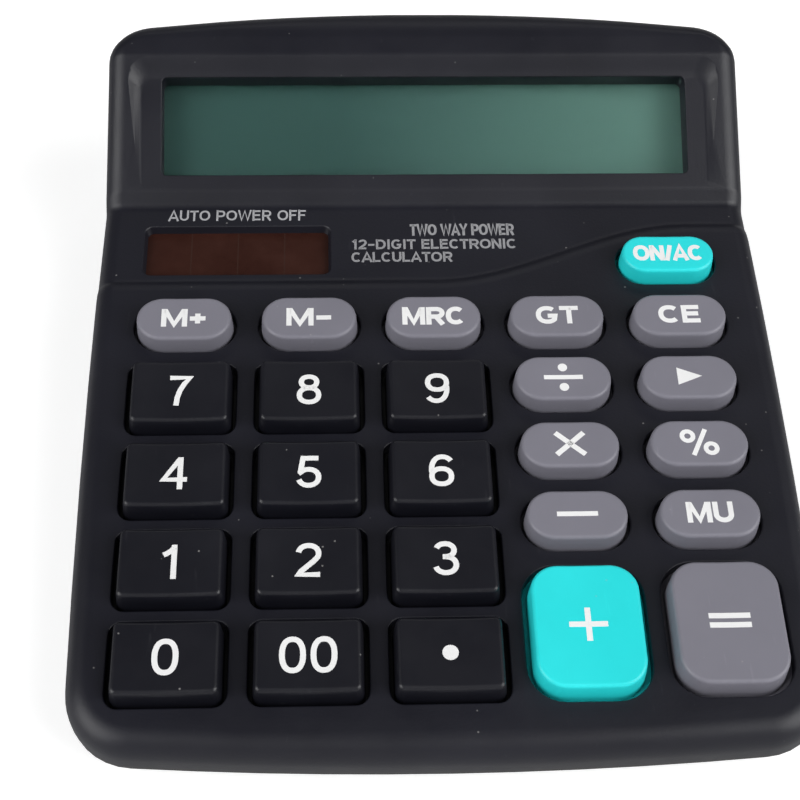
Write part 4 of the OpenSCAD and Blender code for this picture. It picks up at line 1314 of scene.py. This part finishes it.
# %% A pan head screw
def screw_tree():
    """A head that hangs below the point, with a cross cut in it, and a threaded shank above."""
    tree, given, result = growing_tree("pan_screw", {
        "Head Radius": 2.0, "Head Height": 1.0, "Shank Radius": 0.9, "Length": 5.0, "Pitch": 0.8})
    size = given.outputs
    sunk = times(tree, size["Head Height"], -1.0)
    head = grow_node(tree, "GeometryNodeMeshCone", {
        "Vertices": 32, "Radius Top": size["Head Radius"], "Depth": size["Head Height"],
        "Radius Bottom": times(tree, size["Head Radius"], 0.74)})
    arm = times(tree, size["Head Radius"], 1.1)
    thin = times(tree, size["Head Radius"], 0.22)
    deep = times(tree, size["Head Height"], 1.1)
    cross = [shift(tree, box(tree, a, b, deep), sunk) for a, b in ((arm, thin), (thin, arm))]
    cuts = {"Mesh 1": shift(tree, head, sunk), "Mesh 2": cross}
    head = grow_node(tree, "GeometryNodeMeshBoolean", cuts, operation="DIFFERENCE")
    shank = grow_node(tree, "GeometryNodeMeshCylinder", {
        "Vertices": 20, "Radius": size["Shank Radius"], "Depth": size["Length"]})
    shank = shift(tree, shank, times(tree, size["Length"], 0.5))
    turns = grow_node(tree, "ShaderNodeMath", {0: size["Length"], 1: size["Pitch"]}, operation="DIVIDE")
    helix = spiral(tree, 20, turns, size["Shank Radius"], size["Shank Radius"], size["Length"])
    thread = round_wire(tree, helix, 4, times(tree, size["Pitch"], 0.16))
    unit = grow_node(tree, "GeometryNodeJoinGeometry", {"Geometry": [head, shank, thread]})
    set_out(tree, given, result, unit)
    return tree


# %% A comb of contacts and a coil
def comb_tree():
    """Seven bars side by side, as printed in carbon on the board."""
    tree, given, result = growing_tree("contact_comb", {
        "Bar Width": 0.3, "Bar Length": 3.6, "Spacing": 0.6, "Height": 0.04})
    size = given.outputs
    step = triple(tree, size["Spacing"], 0.0, 0.0)
    start = triple(tree, times(tree, size["Spacing"], -3.0), 0.0, 0.0)
    line = grow_node(tree, "GeometryNodeMeshLine", {"Count": 7, "Start Location": start, "Offset": step})
    tooth = box(tree, size["Bar Width"], size["Bar Length"], size["Height"])
    set_out(tree, given, result, at_points(tree, line, tooth))
    return tree


def coil_tree():
    """Three turns of round wire that narrow from start to end."""
    tree, given, result = growing_tree("coil", {
        "Start Radius": 4.0, "End Radius": 2.4, "Height": 3.2, "Wire": 0.3})
    size = given.outputs
    helix = spiral(tree, 28, 3.0, size["Start Radius"], size["End Radius"], size["Height"])
    set_out(tree, given, result, round_wire(tree, helix, 10, size["Wire"]))
    return tree


# %% Grow the screws and the combs
CASE_POSTS = [(46.0, -66.2), (54.2, 14.7), (51.0, 64.4)]
SEAT_DROP = 2.4
TAB_SCREWS = [(-24, -58.3), (24, -58.3)]
DISPLAY_SCREWS = [(x, y, -9.6) for x in (-53.6, 53.6) for y in (6, 19)]
BOARD_UNDER = BOARD_Z - 1.6


def head_seat(y):
    """Height of a case screw's seat above the table."""
    slope = math.tan(DECK_TILT)
    return DECK_ORIGIN.z + PART_Z / math.cos(DECK_TILT) + (y - DECK_ORIGIN.y) * slope - SEAT_DROP


screws = screw_tree()
steel = SLOTS["screw_steel"]
case_points = [(side * x, y, head_seat(y)) for side in (-1, 1) for x, y in CASE_POSTS]
board_points = [(x, BOARD_SCREW_Y, BOARD_UNDER) for x in BOARD_SCREW_XS]
tab_points = [(x, y, BOARD_UNDER) for x, y in TAB_SCREWS]
comb_points = [(x, y, BOARD_Z + 0.02) for x, y, kind, finish in KEYS.values()]
case_screws = grown("case_screws_fine", screws, case_points, LEVEL, steel,
                    Head_Radius=2.0, Head_Height=1.0, Shank_Radius=0.8, Length=5.2)
board_screws = grown("board_screws_fine", screws, board_points, ON_DECK, steel,
                     Head_Radius=1.6, Head_Height=1.0, Shank_Radius=0.66, Length=6.0)
tab_screws = grown("tab_screws_fine", screws, tab_points, ON_DECK, steel,
                   Head_Radius=1.4, Head_Height=0.45, Shank_Radius=0.66, Length=6.0)
display_screws = grown("display_screws_fine", screws, DISPLAY_SCREWS, ON_FACE, steel,
                       Head_Radius=1.6, Head_Height=1.0, Shank_Radius=0.66, Length=5.0)
combs = grown("contact_combs", comb_tree(), comb_points, ON_DECK, SLOTS["carbon_rubber"])
print("screw faces:", len(case_screws.data.polygons), "comb faces:", len(combs.data.polygons))

# %% Grow the spring
BAY_Y = 60.0
CELL_Z = 10.7
SPRING_X = -29.5
QUARTER = Matrix.Rotation(math.radians(90), 4, "Y")
coil = grown("spring_coil", coil_tree(), [(0, 0, 0)], Matrix.Translation((SPRING_X, BAY_Y, CELL_Z)) @ QUARTER,
             SLOTS["contact_nickel"], Height=2.8)
flat = slab("spring_flat", 9.6, 10.2, 1.0, -29.98, -29.6, QUARTER, -CELL_Z, BAY_Y, 0.08)
spring = join("battery_spring_fine", [coil, flat])
for piece in (case_screws, board_screws, tab_screws, display_screws, spring):
    shade(piece, 35)

# %% [markdown]
# ## Putting it together
# The engineering model's own pieces keep their shapes and get a finish.  The shell, the key caps,
# the mat with its discs, the screws and the spring are replaced by the finer ones made here.
# Everything rides on the body that carries it, so a key's legend goes down with its cap.


# %% Finishes for the engineering pieces
def paint(piece, material):
    piece.data.materials.clear()
    piece.data.materials.append(material)


node_slots = {part["node"]: part["material_slot"] for part in frame["record"]["subparts"]}
for name, piece in frame["nodes"].items():
    paint(piece, SLOTS[node_slots[name]])

# %% Ride and replace
paint(upper, SLOTS["case_black"])
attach(upper, "case")
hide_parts("upper_case")
for film, colour in ((power_print, "print_pale"), (strip_print, "print_grey")):
    paint(film, SLOTS[colour])
    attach(film, "case")
for name, (x, y, kind, finish) in KEYS.items():
    paint(caps[name], SLOTS[finish])
    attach(caps[name], "key_" + name)
    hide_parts("key_" + name)
    paint(legends[name], SLOTS["print_white"])
    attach(legends[name], "key_" + name)

# %% The mat and the small parts
deck_normal = ON_DECK.to_3x3() @ Vector((0, 0, 1))
paint(sheet, SLOTS["silicone_mat"])
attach(sheet, "case")
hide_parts("key_mat")
for name, (x, y, kind, finish) in KEYS.items():
    paint(domes[name], SLOTS["silicone_mat"])
    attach(domes[name], "case")
    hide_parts("key_mat")
    dome_foot = place([(x, y, SHEET_Z)], ON_DECK)[0]
    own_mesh(domes[name], "press_" + name, tuple(deck_normal), tuple(dome_foot), 0.5)
    paint(discs[name], SLOTS["carbon_rubber"])
    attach(discs[name], "key_" + name)
    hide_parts("contact_pills")
for piece, stands_for, finish in (
    (case_screws, "case_screws", "screw_steel"),
    (board_screws, "board_screws", "screw_steel"),
    (tab_screws, "board_screws", "screw_steel"),
    (display_screws, "lcd_screws", "screw_steel"),
    (spring, "battery_spring", "contact_nickel"),
):
    paint(piece, SLOTS[finish])
    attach(piece, "case")
    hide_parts(stands_for)
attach(combs, "case")

# %% [markdown]
# ## Table, light and camera
# The calculator stands on a pale table between two large soft lights, one at each side and a
# little to the front.  Three weak ones, two in front and one behind, lift the edges.  The side
# lights stand forward so that their mirror images miss the flat black deck.  The camera looks
# down from the front at about 51 degrees.

# %% Stage
bpy.ops.mesh.primitive_plane_add(size=6, location=(0, 0.6, 0))
table = bpy.context.object
table.name = "table_top"
table_paint = plastic("table_paint", (0.7, 0.7, 0.7), 0.7, 300, 0.02, 0.01, 0.0)
table_tree = table_paint.node_tree
glow = table_tree.nodes["Principled BSDF"].inputs
glow["Emission Color"].default_value = (1, 1, 1, 1)
seen = node(table_tree, "LightPath").outputs["Is Camera Ray"]
table_tree.links.new(math_node(table_tree, "MULTIPLY", seen, 0.6), glow["Emission Strength"])
paint(table, table_paint)
bpy.context.scene.view_settings.view_transform = "Standard"
world = bpy.data.worlds.new("studio")
bpy.context.scene.world = world
world.use_nodes = True
surround = world.node_tree.nodes["Background"].inputs
surround["Color"].default_value = (1, 1, 1, 1)
surround["Strength"].default_value = 0.05


# %% Lights
def soft_light(name, size, power, position, target):
    data = bpy.data.lights.new(name, "AREA")
    data.shape = "RECTANGLE"
    data.size, data.size_y = size
    data.energy = power
    lamp = add_piece(name, data)
    lamp.location = position
    lamp.rotation_euler = (Vector(target) - Vector(position)).to_track_quat("-Z", "Y").to_euler()


soft_light("left_bank", (1.5, 1.8), 38.0, (-1.65, -0.8, 1.2), (0, 0, 0))
soft_light("right_bank", (1.5, 1.8), 42.0, (1.6, -0.7, 1.25), (0, 0, 0))
soft_light("front_bank", (2.4, 0.9), 1.4, (0.1, -1.7, 1.3), (0, 0, 0.02))
soft_light("low_bank", (2.4, 0.4), 2.6, (0.1, -2.0, 0.45), (0, 0, 0.02))
soft_light("back_bank", (2.4, 0.4), 4.5, (0.4, 1.9, 1.6), (0, 0, 0.02))

# %% Camera
EYE = Vector((-16.428, -152.875, 224.36))
CAMERA_TURN = (38.853, -1.313, -1.779)
camera = add_piece("camera", bpy.data.cameras.new("camera"))
camera.location = ON_DECK @ EYE * MM
camera.rotation_euler = [math.radians(degrees) for degrees in CAMERA_TURN]
camera.data.sensor_width = 36
camera.data.lens = 72.98
camera.data.clip_start = 0.01
bpy.context.scene.camera = camera
